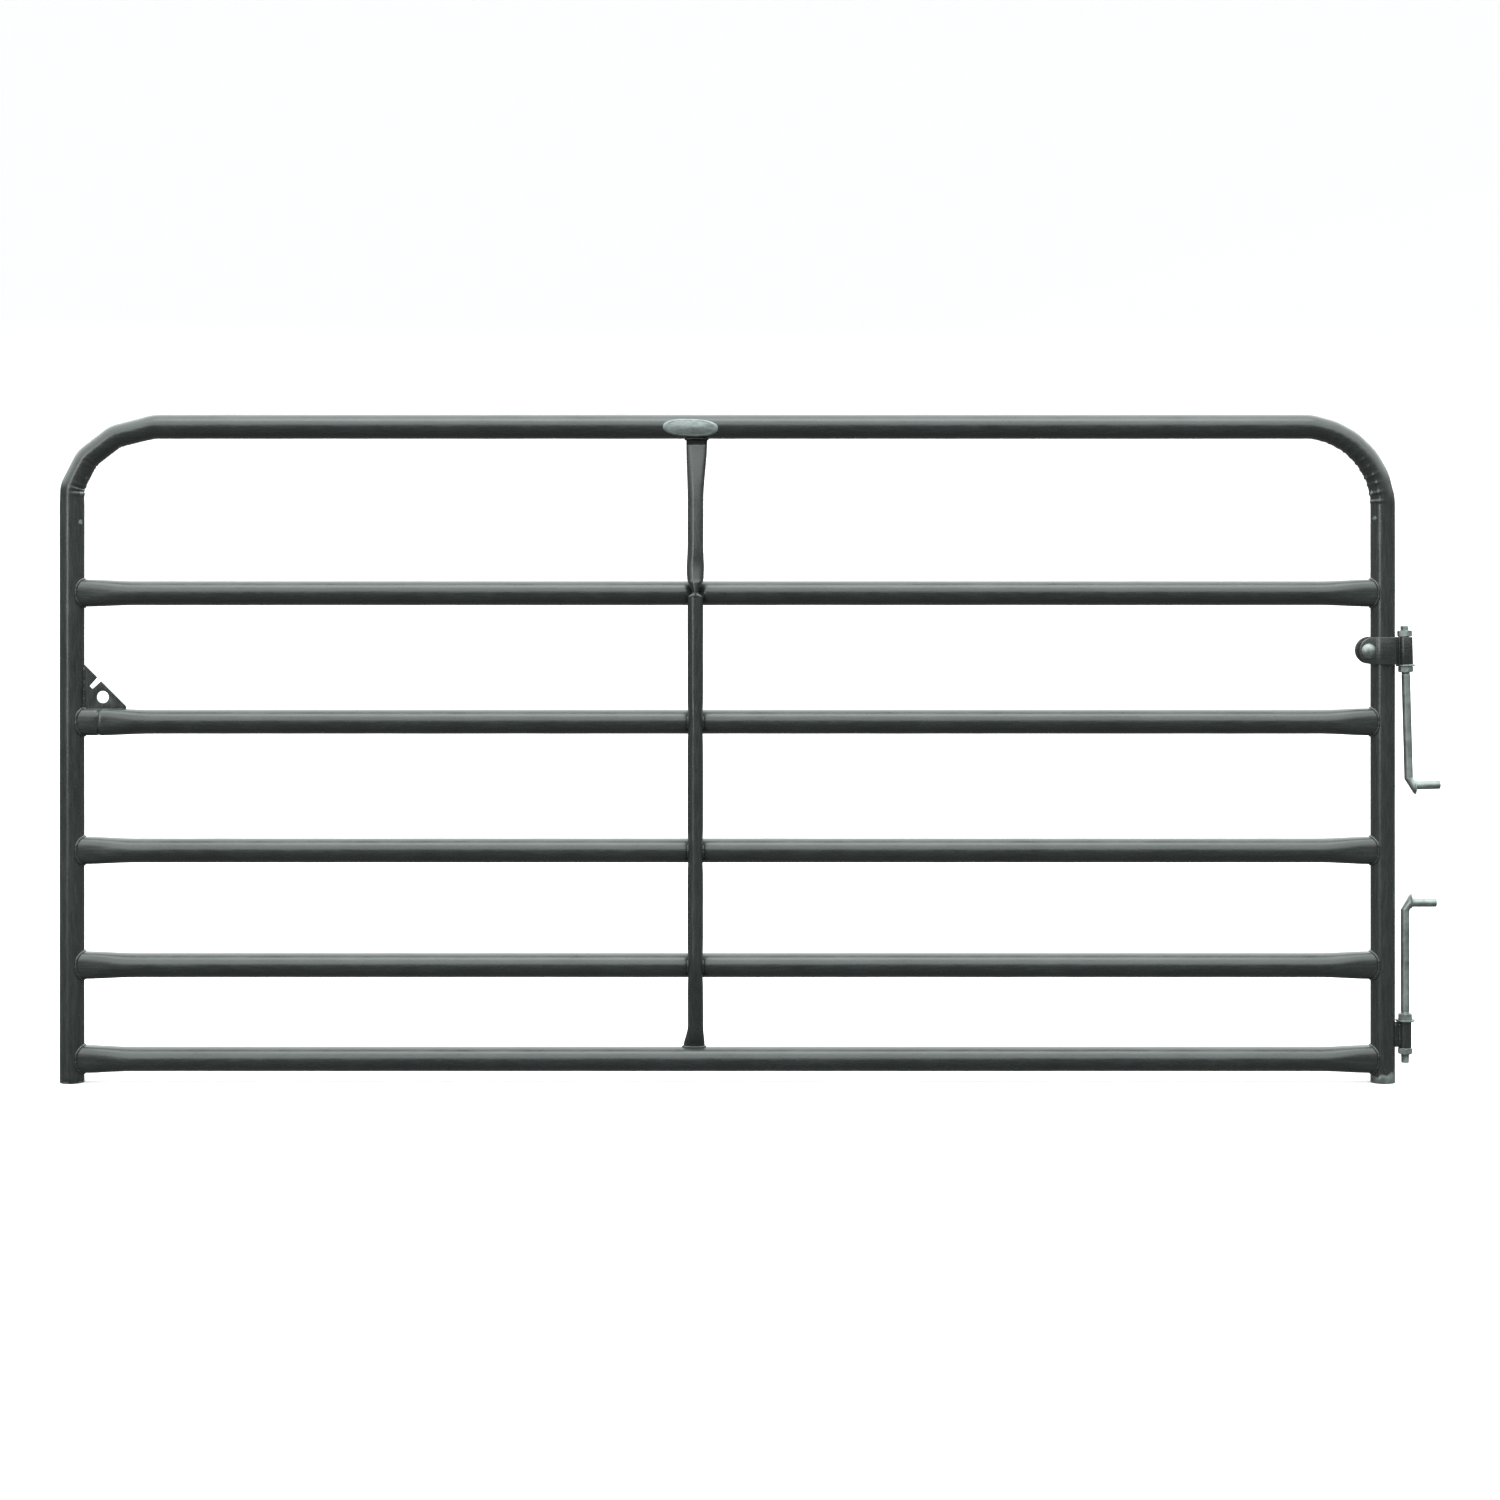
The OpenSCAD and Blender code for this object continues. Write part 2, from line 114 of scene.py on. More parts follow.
def bump_at(x, centre, width):
    return math.exp(-(((x - centre) / width) ** 2))


def blunt(value, power):
    """Raises a sine or cosine to a power but keeps its sign. A power under 1 squares off an ellipse."""
    return math.copysign(abs(value) ** power, value)


def wander(point, scale, amount):
    """A smooth pseudo-random offset that depends only on the place."""
    return noise.noise(Vector(point) * scale) * amount


# ------------------------ meshes


def loft(rings, closed=False):
    """Skin over equal rings. A closed loft joins its last ring to its first. An open one is capped."""
    rings = np.asarray(rings, float)
    count, size, _ = rings.shape
    points = rings.reshape(-1, 3).tolist()
    faces = []
    for k in range(count if closed else count - 1):
        a, b = k * size, (k + 1) % count * size
        for i in range(size):
            j = (i + 1) % size
            faces.append((a + i, a + j, b + j, b + i))
    if not closed:
        for first in (0, (count - 1) * size):
            points.append(rings[first // size].mean(axis=0).tolist())
            hub = len(points) - 1
            faces += [(first + i, first + (i + 1) % size, hub) for i in range(size)]
    return points, faces


def join_parts(parts):
    """Several (points, faces) as one."""
    points, faces = [], []
    for part_points, part_faces in parts:
        base = len(points)
        points += [tuple(p) for p in part_points]
        faces += [tuple(base + i for i in face) for face in part_faces]
    return points, faces


def moved(part, matrix):
    points, faces = part
    return [tuple(matrix @ Vector(p)) for p in points], faces


def circle(count):
    """Angles of evenly spaced points once round a circle."""
    return [2 * math.pi * i / count for i in range(count)]


def lathe(profile, around=AROUND, closed=False):
    """Turns (radius, height) points about Z. An open profile starts and ends near the axis."""
    angles = circle(around)
    rings = [[(r * math.cos(a), r * math.sin(a), z) for a in angles] for r, z in profile]
    return loft(rings, closed)


def face_outwards(mesh):
    bm = bmesh.new()
    bm.from_mesh(mesh)
    bmesh.ops.recalc_face_normals(bm, faces=bm.faces)
    bm.to_mesh(mesh)
    bm.free()


def mesh_of(part, name):
    points, faces = part
    mesh = bpy.data.meshes.new(name)
    mesh.from_pydata(points, [], faces)
    return mesh


def finish_mesh(mesh, material, sharp_deg):
    face_outwards(mesh)
    mesh.polygons.foreach_set("use_smooth", [True] * len(mesh.polygons))
    mesh.set_sharp_from_angle(angle=math.radians(sharp_deg))
    mesh.materials.clear()
    mesh.materials.append(material)


def add_piece(name, part, material, body, nodes=(), sharp_deg=38):
    return add_mesh(name, mesh_of(part, name), material, body, nodes, sharp_deg)


def add_mesh(name, mesh, material, body, nodes=(), sharp_deg=38):
    finish_mesh(mesh, material, sharp_deg)
    piece = bpy.data.objects.new(name, mesh)
    bpy.context.scene.collection.objects.link(piece)
    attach(piece, body)
    if nodes:
        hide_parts(*nodes)
    return piece


def modified(shape, *modifiers):
    """A mesh or curve as a mesh, after a stack of modifiers, each given as (type, settings)."""
    temporary = bpy.data.objects.new("temporary", shape)
    bpy.context.scene.collection.objects.link(temporary)
    for kind, settings in modifiers:
        modifier = temporary.modifiers.new(kind, kind)
        for key, value in settings.items():
            setattr(modifier, key, value)
    graph = bpy.context.evaluated_depsgraph_get()
    result = bpy.data.meshes.new_from_object(temporary.evaluated_get(graph))
    bpy.data.objects.remove(temporary)
    return result


# ------------------------ materials

# Where the bending tool has rubbed the inner side of the bends bare, and within what radius
BEND_MARKS = (
    ((LATCH_X + 18 * MM, -12 * MM, TOP_Z - 173.8 * MM), 9 * MM),
    ((LATCH_X + 19 * MM, -10 * MM, TOP_Z - 120.8 * MM), 11 * MM),
    ((LATCH_X + 26 * MM, -10 * MM, TOP_Z - 92.8 * MM), 9 * MM),
    ((HINGE_X - 18 * MM, -12 * MM, TOP_Z - 167.8 * MM), 9 * MM),
    ((HINGE_X - 22 * MM, -10 * MM, TOP_Z - 120.8 * MM), 8 * MM),
    ((HINGE_X - 34 * MM, -10 * MM, TOP_Z - 92.8 * MM), 8 * MM),
)


class Nodes:
    """Short calls for building one material's node tree."""

    def __init__(self, name):
        self.material = bpy.data.materials.new(name)
        self.material.use_nodes = True
        self.tree = self.material.node_tree
        self.tree.nodes.clear()
        self.place = self.add("ShaderNodeTexCoord").outputs["Object"]

    def add(self, kind, **settings):
        node = self.tree.nodes.new(kind)
        for key, value in settings.items():
            setattr(node, key, value)
        return node

    def link(self, a, b):
        self.tree.links.new(a, b)

    def scaled(self, scale):
        node = self.add("ShaderNodeMapping")
        node.inputs["Scale"].default_value = scale
        self.link(self.place, node.inputs["Vector"])
        return node.outputs["Vector"]

    def noise(self, vector, scale, detail=4.0, rough=0.55):
        node = self.add("ShaderNodeTexNoise")
        node.inputs["Scale"].default_value = scale
        node.inputs["Detail"].default_value = detail
        node.inputs["Roughness"].default_value = rough
        self.link(vector, node.inputs["Vector"])
        return node.outputs["Fac"]

    def cells(self, vector, scale):
        node = self.add("ShaderNodeTexVoronoi")
        node.inputs["Scale"].default_value = scale
        self.link(vector, node.inputs["Vector"])
        return node

    def fit(self, value, low, high, to_low, to_high):
        node = self.add("ShaderNodeMapRange")
        limits = {"From Min": low, "From Max": high, "To Min": to_low, "To Max": to_high}
        for key, number in limits.items():
            node.inputs[key].default_value = number
        self.link(value, node.inputs["Value"])
        return node.outputs["Result"]

    def math(self, operation, a, b):
        node = self.add("ShaderNodeMath", operation=operation)
        for socket, value in zip(node.inputs, (a, b)):
            if isinstance(value, (int, float)):
                socket.default_value = value
            else:
                self.link(value, socket)
        return node.outputs[0]

    def mix(self, factor, a, b):
        node = self.add("ShaderNodeMix", data_type="RGBA")
        self.link(factor, node.inputs["Factor"])
        for key, value in ((6, a), (7, b)):
            if isinstance(value, tuple):
                node.inputs[key].default_value = (*value, 1.0)
            else:
                self.link(value, node.inputs[key])
        return node.outputs[2]

    def bump(self, height, distance, strength=1.0, after=None):
        node = self.add("ShaderNodeBump")
        node.inputs["Distance"].default_value = distance
        node.inputs["Strength"].default_value = strength
        self.link(height, node.inputs["Height"])
        if after is not None:
            self.link(after, node.inputs["Normal"])
        return node.outputs["Normal"]

    def surface(self, colour, roughness, normal, **constants):
        shader = self.add("ShaderNodeBsdfPrincipled")
        for key, value in constants.items():
            shader.inputs[key.replace("_", " ")].default_value = value
        self.link(colour, shader.inputs["Base Color"])
        self.link(roughness, shader.inputs["Roughness"])
        self.link(normal, shader.inputs["Normal"])
        return shader.outputs["BSDF"]

    def output(self, shader):
        self.link(shader, self.add("ShaderNodeOutputMaterial").inputs["Surface"])
        return self.material


ALONG_X = (1.0, 9.0, 9.0)
ALONG_Z = (9.0, 9.0, 1.0)


def streaks_along(n, stretch):
    return n.noise(n.scaled(stretch), 26.0, 5.0, 0.6)


def frame_streaks(n, height):
    """Streaks that run up the legs and along the top bar, blended over the bends."""
    on_top = n.fit(height, TOP_Z - 110 * MM, TOP_Z - 40 * MM, 0.0, 1.0)
    on_legs = n.math("SUBTRACT", 1.0, on_top)
    level = n.math("MULTIPLY", streaks_along(n, ALONG_X), on_top)
    return n.math("ADD", level, n.math("MULTIPLY", streaks_along(n, ALONG_Z), on_legs))


def enamel_shader(n, streaks):
    """Dark grey-green enamel: sprayed skin, faint streaks, a lighter and rougher tint on faces that point up, and
    small specks.
    """
    mottle = n.noise(n.place, 9.0, 6.0, 0.65)
    grain = n.noise(n.place, 420.0, 3.0, 0.6)
    tone = n.math("ADD", n.math("MULTIPLY", streaks, 0.55), n.math("MULTIPLY", mottle, 0.45))
    colour = n.mix(n.fit(tone, 0.36, 0.64, 0.0, 1.0), (0.0150, 0.0180, 0.0173), (0.0310, 0.0355, 0.0345))

    # Faces that point up are tinted lighter and made rougher, in mottled patches.
    up = n.add("ShaderNodeSeparateXYZ")
    n.link(n.add("ShaderNodeNewGeometry").outputs["Normal"], up.inputs[0])
    facing_up = n.fit(up.outputs["Z"], 0.1, 0.95, 0.0, 0.5)
    up_facing_tint = n.math("MULTIPLY", facing_up, n.fit(mottle, 0.35, 0.7, 0.3, 1.0))
    colour = n.mix(up_facing_tint, colour, (0.075, 0.085, 0.082))

    specks = n.cells(n.place, 210.0)
    speck = n.math(
        "MULTIPLY",
        n.fit(specks.outputs["Distance"], 0.10, 0.16, 1.0, 0.0),
        n.fit(specks.outputs["Color"], 0.80, 0.84, 0.0, 0.6),
    )
    colour = n.mix(speck, colour, (0.16, 0.17, 0.165))

    roughness = n.math("ADD", n.fit(streaks, 0.3, 0.7, 0.22, 0.32), n.math("MULTIPLY", up_facing_tint, 0.22))
    skin = n.bump(grain, 0.00012, 0.55)
    skin = n.bump(streaks, 0.0006, 0.30, skin)
    gloss = {"IOR": 1.52, "Specular_IOR_Level": 0.62, "Coat_Weight": 0.15, "Coat_Roughness": 0.24}
    return n.surface(colour, roughness, skin, **gloss)


def zinc_shader(n, dark=(0.20, 0.222, 0.216), light=(0.36, 0.395, 0.385)):
    """Dull zinc: soft spangle, blotches and a fine drawn grain."""
    spangle = n.cells(n.place, 150.0)
    blotch = n.noise(n.place, 34.0, 6.0, 0.62)
    fine = n.noise(n.place, 620.0, 3.0, 0.6)
    tone = n.math(
        "ADD", n.math("MULTIPLY", spangle.outputs["Color"], 0.22), n.math("MULTIPLY", blotch, 0.95)
    )
    colour = n.mix(n.fit(tone, 0.36, 0.82, 0.0, 1.0), dark, light)
    roughness = n.fit(blotch, 0.3, 0.7, 0.36, 0.58)
    skin = n.bump(fine, 0.00010, 0.5)
    skin = n.bump(blotch, 0.0006, 0.25, skin)
    return n.surface(colour, roughness, skin, Metallic=0.82)


def enamel_material(name, stretch):
    n = Nodes(name)
    return n.output(enamel_shader(n, streaks_along(n, stretch)))


def brace_material():
    """The brace's enamel, with painted shade: a dull, dark band at its welded top end, where it sits in shadow
    under the top rail.
    """
    n = Nodes("enamel_brace")
    painted = enamel_shader(n, streaks_along(n, ALONG_Z))
    # Painted shade: a mottled, near-black, dull band across the brace's top end stands in for the top rail's
    # shadow.
    shade_noise = n.noise(n.place, 90.0, 5.0, 0.7)
    dark = n.mix(shade_noise, (0.003, 0.004, 0.004), (0.011, 0.013, 0.012))
    dull = n.fit(shade_noise, 0.3, 0.7, 0.55, 0.8)
    painted_shade = n.surface(dark, dull, n.bump(shade_noise, 0.0008, 0.5), Specular_IOR_Level=0.25)
    split = n.add("ShaderNodeSeparateXYZ")
    n.link(n.place, split.inputs[0])
    level = n.math("ADD", split.outputs["Z"], n.math("MULTIPLY", shade_noise, 0.003))
    edge = TOP_Z - TUBE_R - 0.0105
    mixed = n.add("ShaderNodeMixShader")
    n.link(n.fit(level, edge, edge + 0.0015, 0.0, 1.0), mixed.inputs[0])
    n.link(painted, mixed.inputs[1])
    n.link(painted_shade, mixed.inputs[2])
    return n.output(mixed.outputs[0])


def chipped(n, places):
    """A mask of small bare marks near the given places."""
    ragged = n.noise(n.place, 210.0, 4.0, 0.7)
    mask = None
    for place, radius in places:
        distance = n.add("ShaderNodeVectorMath", operation="DISTANCE")
        n.link(n.place, distance.inputs[0])
        distance.inputs[1].default_value = place
        near = n.fit(distance.outputs["Value"], 0.0, radius, 1.0, 0.0)
        spot = n.fit(n.math("MULTIPLY", near, ragged), 0.24, 0.30, 0.0, 0.85)
        mask = spot if mask is None else n.math("MAXIMUM", mask, spot)
    return mask


def frame_material():
    """Enamel that ends a little above the cut leg ends, where bare galvanised tube shows."""
    n = Nodes("enamel_frame")
    split = n.add("ShaderNodeSeparateXYZ")
    n.link(n.place, split.inputs[0])
    painted = enamel_shader(n, frame_streaks(n, split.outputs["Z"]))
    bare = zinc_shader(n, (0.12, 0.135, 0.13), (0.42, 0.46, 0.445))
    edge = n.math("MULTIPLY", n.noise(n.place, 48.0, 4.0, 0.6), 0.030)
    slant = n.math("MULTIPLY", split.outputs["X"], -0.30)
    level = n.math("ADD", n.math("ADD", split.outputs["Z"], edge), slant)
    on_hinge_leg = n.fit(split.outputs["X"], -0.05, -0.04, 0.0, 1.0)
    hinge_bare = n.fit(level, 0.0322, 0.0338, 1.0, 0.0)
    rim = n.math("ADD", split.outputs["Z"], n.math("MULTIPLY", edge, 0.75))
    latch_bare = n.fit(rim, 0.0130, 0.0150, 1.0, 0.0)
    mask = n.math("MAXIMUM", n.math("MULTIPLY", hinge_bare, on_hinge_leg), latch_bare)
    mask = n.math("MAXIMUM", mask, chipped(n, BEND_MARKS))
    mixed = n.add("ShaderNodeMixShader")
    n.link(mask, mixed.inputs[0])
    n.link(painted, mixed.inputs[1])
    n.link(bare, mixed.inputs[2])
    return n.output(mixed.outputs[0])


def zinc_material(name, **tones):
    n = Nodes(name)
    return n.output(zinc_shader(n, **tones))


def plate_material():
    """Satin pale plate with a worn, cloudy face."""
    n = Nodes("plate_metal")
    cloud = n.noise(n.scaled((1.0, 1.0, 2.2)), 70.0, 6.0, 0.65)
    fine = n.noise(n.place, 900.0, 2.0, 0.5)
    colour = n.mix(n.fit(cloud, 0.32, 0.68, 0.0, 1.0), (0.17, 0.195, 0.19), (0.33, 0.365, 0.355))
    roughness = n.fit(cloud, 0.3, 0.7, 0.34, 0.52)
    skin = n.bump(fine, 0.00008, 0.5)
    skin = n.bump(cloud, 0.0005, 0.35, skin)
    return n.output(n.surface(colour, roughness, skin, Metallic=0.35))


ENAMEL_X = enamel_material("enamel_rails", ALONG_X)
ENAMEL_Z = enamel_material("enamel_upright", ALONG_Z)
ENAMEL_FRAME = frame_material()
ENAMEL_BRACE = brace_material()
ZINC = zinc_material("zinc_plate")
PLATE = plate_material()

# ------------------------ the bent frame tube

# Each quarter bend: how far each press turned the tube, in degrees,
# and the straight lengths before, between and after the presses, in millimetres
LATCH_TURNS = (27.0, 25.3, 23.6, 14.1)
LATCH_CHORDS = (39.0, 60.0, 65.0, 73.6, 14.0)
HINGE_TURNS = (14.0, 16.0, 15.0, 16.0, 14.5, 14.5)
HINGE_CHORDS = (19.7, 39.5, 39.5, 39.5, 39.5, 39.5, 19.7)
LATCH_PRESS_W = 24 * MM
HINGE_PRESS_W = 30 * MM
LATCH_RUN = BEND_R + LATCH_CHORDS[-1] * MM
HINGE_RUN = BEND_R
BEND_STEP = 2.2 * MM


def pressed_bend(turns, chords, press_w, run):
    """Centre line of a bend made in presses, from upright to level: (x, z, heading, share of the bend)."""
    places = np.cumsum(chords)[:-1] * MM
    total = sum(chords) * MM
    count = int(total / BEND_STEP)
    step = total / count

    def heading(s):
        turned = sum(turn * ease((s - place) / press_w + 0.5) for turn, place in zip(turns, places))
        return math.radians(90 - turned)

    x, z = 0.0, 0.0
    line = [(x, z, heading(0), 0.0)]
    for k in range(count):
        along = heading((k + 0.5) * step)
        x += step * math.cos(along)
        z += step * math.sin(along)
        line.append((x, z, heading((k + 1) * step), (k + 1) / count))
    return [(run * a / x, BEND_R * b / z, c, d) for a, b, c, d in line]


def frame_line():
    """(x, z, heading, bend share or None, side) from the latch leg's foot to the hinge leg's."""
    leg_top = TOP_Z - BEND_R
    latch_bend = pressed_bend(LATCH_TURNS, LATCH_CHORDS, LATCH_PRESS_W, LATCH_RUN)
    hinge_bend = pressed_bend(HINGE_TURNS, HINGE_CHORDS, HINGE_PRESS_W, HINGE_RUN)
    legs = np.linspace(0.0, leg_top, 90)[:-1]
    top = np.linspace(LATCH_X + latch_bend[-1][0], HINGE_X - BEND_R, 170)[1:-1]
    line = [(LATCH_X, z, math.pi / 2, None, -1) for z in legs]
    line += [(LATCH_X + x, leg_top + z, h, s, -1) for x, z, h, s in latch_bend]
    line += [(x, TOP_Z, 0.0, None, 0) for x in top]
    line += [(HINGE_X - x, leg_top + z, -h, s, 1) for x, z, h, s in reversed(hinge_bend)]
    line += [(HINGE_X, z, -math.pi / 2, None, 1) for z in reversed(legs)]
    return line


# Shares of each bend at which its inner side is wrinkled, and how strongly
LATCH_WRINKLES = [(0.11, 1.1), (0.155, 1.5), (0.20, 1.2), (0.36, 0.8), (0.41, 0.9)]
LATCH_WRINKLES += [(0.65, 0.4), (0.69, 0.4)]
HINGE_WRINKLES = [(0.06 + 0.075 * k, 1.1 - 0.07 * k + 0.3 * (k % 2)) for k in range(11)]
WRINKLE_H = 1.5 * MM
WRINKLE_W = 0.011


def wrinkle(share, side):
    marks = LATCH_WRINKLES if side < 0 else HINGE_WRINKLES
    return sum(strong * bump_at(share, place, WRINKLE_W) for place, strong in marks)


def frame_ring(x, z, heading, share, side, radius):
    """One ring of the frame tube, slightly flattened and wrinkled inside where it is bent."""
    centre = Vector((x, 0.0, z))
    out = Vector((-math.sin(heading), 0.0, math.cos(heading)))
    back = Vector((0.0, 1.0, 0.0))
    bent = 0.0 if share is None else ease(min(share, 1 - share) / 0.18)
    flat = 1 - 0.05 * bent
    wide = 1 + 0.025 * bent
    ring = []
    for a in circle(AROUND):
        across, deep = math.cos(a), math.sin(a)
        spot = centre + radius * (across * out + deep * back)
        r = radius + wander(spot, 14.0, 0.16 * MM) + wander(spot, 60.0, 0.05 * MM)
        if share is not None and across < 0.25:
            r += WRINKLE_H * wrinkle(share, side) * ease((0.25 - across) / 1.1)
        ring.append(centre + r * (flat * across * out + wide * deep * back))
    return ring


def frame_tube():
    """The bent tube with its cut ends, which are open for a stretch."""
    outer = [frame_ring(*station, TUBE_R) for station in frame_line()]
    rim = 0.35 * MM
    bore = TUBE_R - TUBE_WALL
    depth = 120 * MM

    def end_rings(x, heading):
        heights = [(rim, TUBE_R), (0.0, TUBE_R - rim), (0.0, bore + rim), (rim, bore), (depth, bore)]
        return [frame_ring(x, z, heading, None, 0, r) for z, r in heights]

    start = end_rings(LATCH_X, math.pi / 2)[::-1]
    end = end_rings(HINGE_X, -math.pi / 2)
    return loft(start + outer[1:-1] + end)


# ------------------------ rails with pressed and coped ends

END_HALF_H = 25.0 * MM
END_HALF_D = 19.2 * MM
END_SQUARE = 0.66
FLARE_LEN = 95 * MM
COPE_LEN = 26 * MM
DENT_W = 12.5 * MM
# The third rail's latch end stays pressed up to a crease before it turns round
CREASE_AT = 28 * MM
CREASE_H = 2.5 * MM
RAIL_START = LATCH_X + TUBE_R
RAIL_END = HINGE_X - TUBE_R
DENT_DEPTH = TUBE_R - (BRACE_OUT - BRACE_R * 0.93)
# Distances of the rings from each end of a rail, in millimetres: close at the cope and the crease
END_STEPS = (0, 0.8, 1.8, 3, 4.5, 6.5, 9, 12, 15, 18, 21, 24, 26, 27, 28, 29, 30, 32, 36, 42, 50, 58)
FLARE_STEPS = (66, 75, 85, 95, 110)


def rail_stations():
    near = [d * MM for d in END_STEPS + FLARE_STEPS]
    ends = [RAIL_START + d for d in near] + [RAIL_END - d for d in near]
    dents = [BRACE_X + d * MM for d in range(-60, 61, 3)]
    plain = np.arange(RAIL_START + 0.13, RAIL_END - 0.12, 0.02)
    plain = [x for x in plain if abs(x - BRACE_X) > 0.062]
    return sorted(ends + dents + plain)


def rail_ring(x, z_mid, creased):
    """One ring of a rail: pressed tall and square near its ends, and dented where the brace crosses."""
    to_latch = x - RAIL_START
    to_hinge = RAIL_END - x
    near = min(to_latch, to_hinge)
    at_crease = creased and to_latch < to_hinge
    flat_len = CREASE_AT if at_crease else 0.0
    pressed = 1 - ease((near - flat_len) / FLARE_LEN)
    half_h = TUBE_R + (END_HALF_H - TUBE_R) * pressed
    half_d = TUBE_R + (END_HALF_D - TUBE_R) * pressed
    square = 1 - (1 - END_SQUARE) * pressed
    cope = (1 - near / COPE_LEN) ** 2 if near < COPE_LEN else 0.0
    sink = -1.2 * MM * max(0.0, 1 - near / (3 * MM))
    toward = 1 if to_latch < to_hinge else -1
    ring = []
    for a in circle(AROUND):
        y, z = half_d * blunt(math.sin(a), square), half_h * blunt(math.cos(a), square)
        spot = (x, y, z_mid + z)
        swell = 1 + (wander(spot, 13.0, 0.16) + wander(spot, 55.0, 0.05)) * MM / TUBE_R
        if at_crease:
            swell -= CREASE_H / TUBE_R * bump_at(near, CREASE_AT + wander(spot, 90.0, 1.5 * MM), 1.7 * MM)
        y, z = y * swell, z * swell
        if y < 0:
            y += DENT_DEPTH * bump_at(x, BRACE_X, DENT_W) * (-y / TUBE_R) ** 1.3
        reach = (math.sqrt(max(TUBE_R**2 - y * y, 0.0)) - TUBE_R) * cope
        ring.append((x + toward * (reach + sink), y, z_mid + z))
    return ring


def rail(name):
    """A welded rail. The brace crosses all of them but the bottom one, on which it stands."""
    rings = [rail_ring(x, RAIL_Z[name], name == "third_rail") for x in rail_stations()]
    if name == "bottom_rail":
        rings = [undented(ring, x, RAIL_Z[name]) for ring, x in zip(rings, rail_stations())]
    return loft(rings)


def undented(ring, x, z_mid):
    """The ring with the brace's dent taken out again."""
    push = DENT_DEPTH * bump_at(x, BRACE_X, DENT_W)
    if push <= 1e-6:
        return ring
    back = []
    for px, py, pz in ring:
        if py < push * 0.5:
            a = math.asin(max(-1.0, min(1.0, (pz - z_mid) / TUBE_R)))
            py = -TUBE_R * math.cos(a)
        back.append((px, py, pz))
    return back


# ------------------------ weld beads

BEAD_AROUND = 10


def bead(path, radius, closed=False, seed=0, ripple=3.1 * MM):
    """A rippled weld bead along a path. Its ends taper unless it is closed."""
    path = [Vector(p) for p in path]
    count = len(path)
    hub = sum(path, Vector()) / count
    length = 0.0
    rings = []
    for k, p in enumerate(path):
        before = path[k - 1] if (k or closed) else p
        after = path[(k + 1) % count] if (k < count - 1 or closed) else p
        along = (after - before).normalized()
        if k:
            length += (p - path[k - 1]).length
        side = p - hub
        side = side - side.dot(along) * along
        if side.length < 1e-6:
            side = along.orthogonal()
        side.normalize()
        up = along.cross(side)
        beat = abs(math.sin(math.pi * length / ripple + wander(p, 160.0, 1.2)))
        size = radius * (0.88 + 0.17 * beat + wander((p.x + seed, p.y, p.z), 120.0, 0.18))
        if not closed:
            size *= 0.45 + 0.55 * math.sqrt(min(1.0, min(k, count - 1 - k) / 3))
        centre = p + side * wander(p, 200.0 + seed, 0.5 * MM)
        rings.append([centre + size * (math.cos(a) * side + math.sin(a) * up) for a in circle(BEAD_AROUND)])
    return loft(rings, closed)


def cope_loop(leg_x, toward, z_mid):
    """The line where a rail's pressed end meets a leg."""
    loop = []
    for a in circle(150):
        y = END_HALF_D * blunt(math.sin(a), END_SQUARE)
        z = END_HALF_H * blunt(math.cos(a), END_SQUARE)
        x = leg_x + toward * (math.sqrt(TUBE_R**2 - y * y) + 0.4 * MM)
        loop.append((x, y * 1.012, z_mid + z * 1.006))
    return loop


def straight(a, b, step=0.9 * MM):
    a, b = Vector(a), Vector(b)
    count = max(int((b - a).length / step), 4)
    return [a.lerp(b, k / count) for k in range(count + 1)]


def rail_welds(name):
    z_mid = RAIL_Z[name]
    loops = [
        bead(cope_loop(LATCH_X, 1, z_mid), 2.5 * MM, closed=True, seed=1),
        bead(cope_loop(HINGE_X, -1, z_mid), 2.5 * MM, closed=True, seed=2),
    ]
    if name in ("third_rail", "fourth_rail", "fifth_rail"):
        for side in (-1, 1):
            path = []
            for z in np.arange(-11.5, 11.6, 0.9) * MM:
                x = BRACE_X + side * (brace_half_w(z_mid + z, side) + 0.6 * MM)
                path.append((x, -math.sqrt(TUBE_R**2 - z * z) + 1.6 * MM, z_mid + z))
            loops.append(bead(path, 2.3 * MM, seed=3 + side))
    return join_parts(loops)


# ------------------------ centre brace

BRACE_AROUND = 40
# At the second rail the brace is pinched to a narrow nose, over this much above it and this much below
PINCH_HALF_W = 6.0 * MM
PINCH_RISE = 25 * MM
PINCH_FALL = 8 * MM
SQUEEZE = 1.4 * MM
BRACE_TOP = TOP_Z - TUBE_R
BRACE_FOOT = RAIL_Z["bottom_rail"] + TUBE_R


def brace_y(z):
    """The brace's centre line. It leans back to the frame above the second rail and below the fifth."""
    second, fifth = RAIL_Z["second_rail"], RAIL_Z["fifth_rail"]
    if z > second:
        return -BRACE_OUT * (BRACE_TOP - z) / (BRACE_TOP - second)
    if z < fifth:
        return -BRACE_OUT * (z - BRACE_FOOT) / (fifth - BRACE_FOOT)
    return -BRACE_OUT


def smooth_brace_y(z):
    """The brace's line with its two corners rounded off."""
    reach = 12 * MM
    return sum(brace_y(z + reach * k / 4) for k in range(-4, 5)) / 9


def brace_half_w(z, side):
    """Half width of the brace seen from the front, on its hinge side (1) or its latch side (-1)."""
    w = BRACE_R
    top_flare = 7.0 * MM if side > 0 else 2.9 * MM
    foot_flare = 2.6 * MM if side > 0 else 8.2 * MM
    w += top_flare * ease(1 - (BRACE_TOP - z) / (115 * MM))
    w += foot_flare * ease(1 - (z - BRACE_FOOT) / (44 * MM)) ** 1.3
    for name in ("third_rail", "fourth_rail", "fifth_rail"):
        w -= SQUEEZE * bump_at(z, RAIL_Z[name], 26 * MM)
    kink = RAIL_Z["second_rail"] + 1 * MM
    w += 1.6 * MM * bump_at(z, kink + 46 * MM, 24 * MM)
    narrow = 1 - ease((z - kink) / PINCH_RISE) if z >= kink else 1 - ease((kink - z) / PINCH_FALL)
    return w - (BRACE_R - PINCH_HALF_W) * narrow


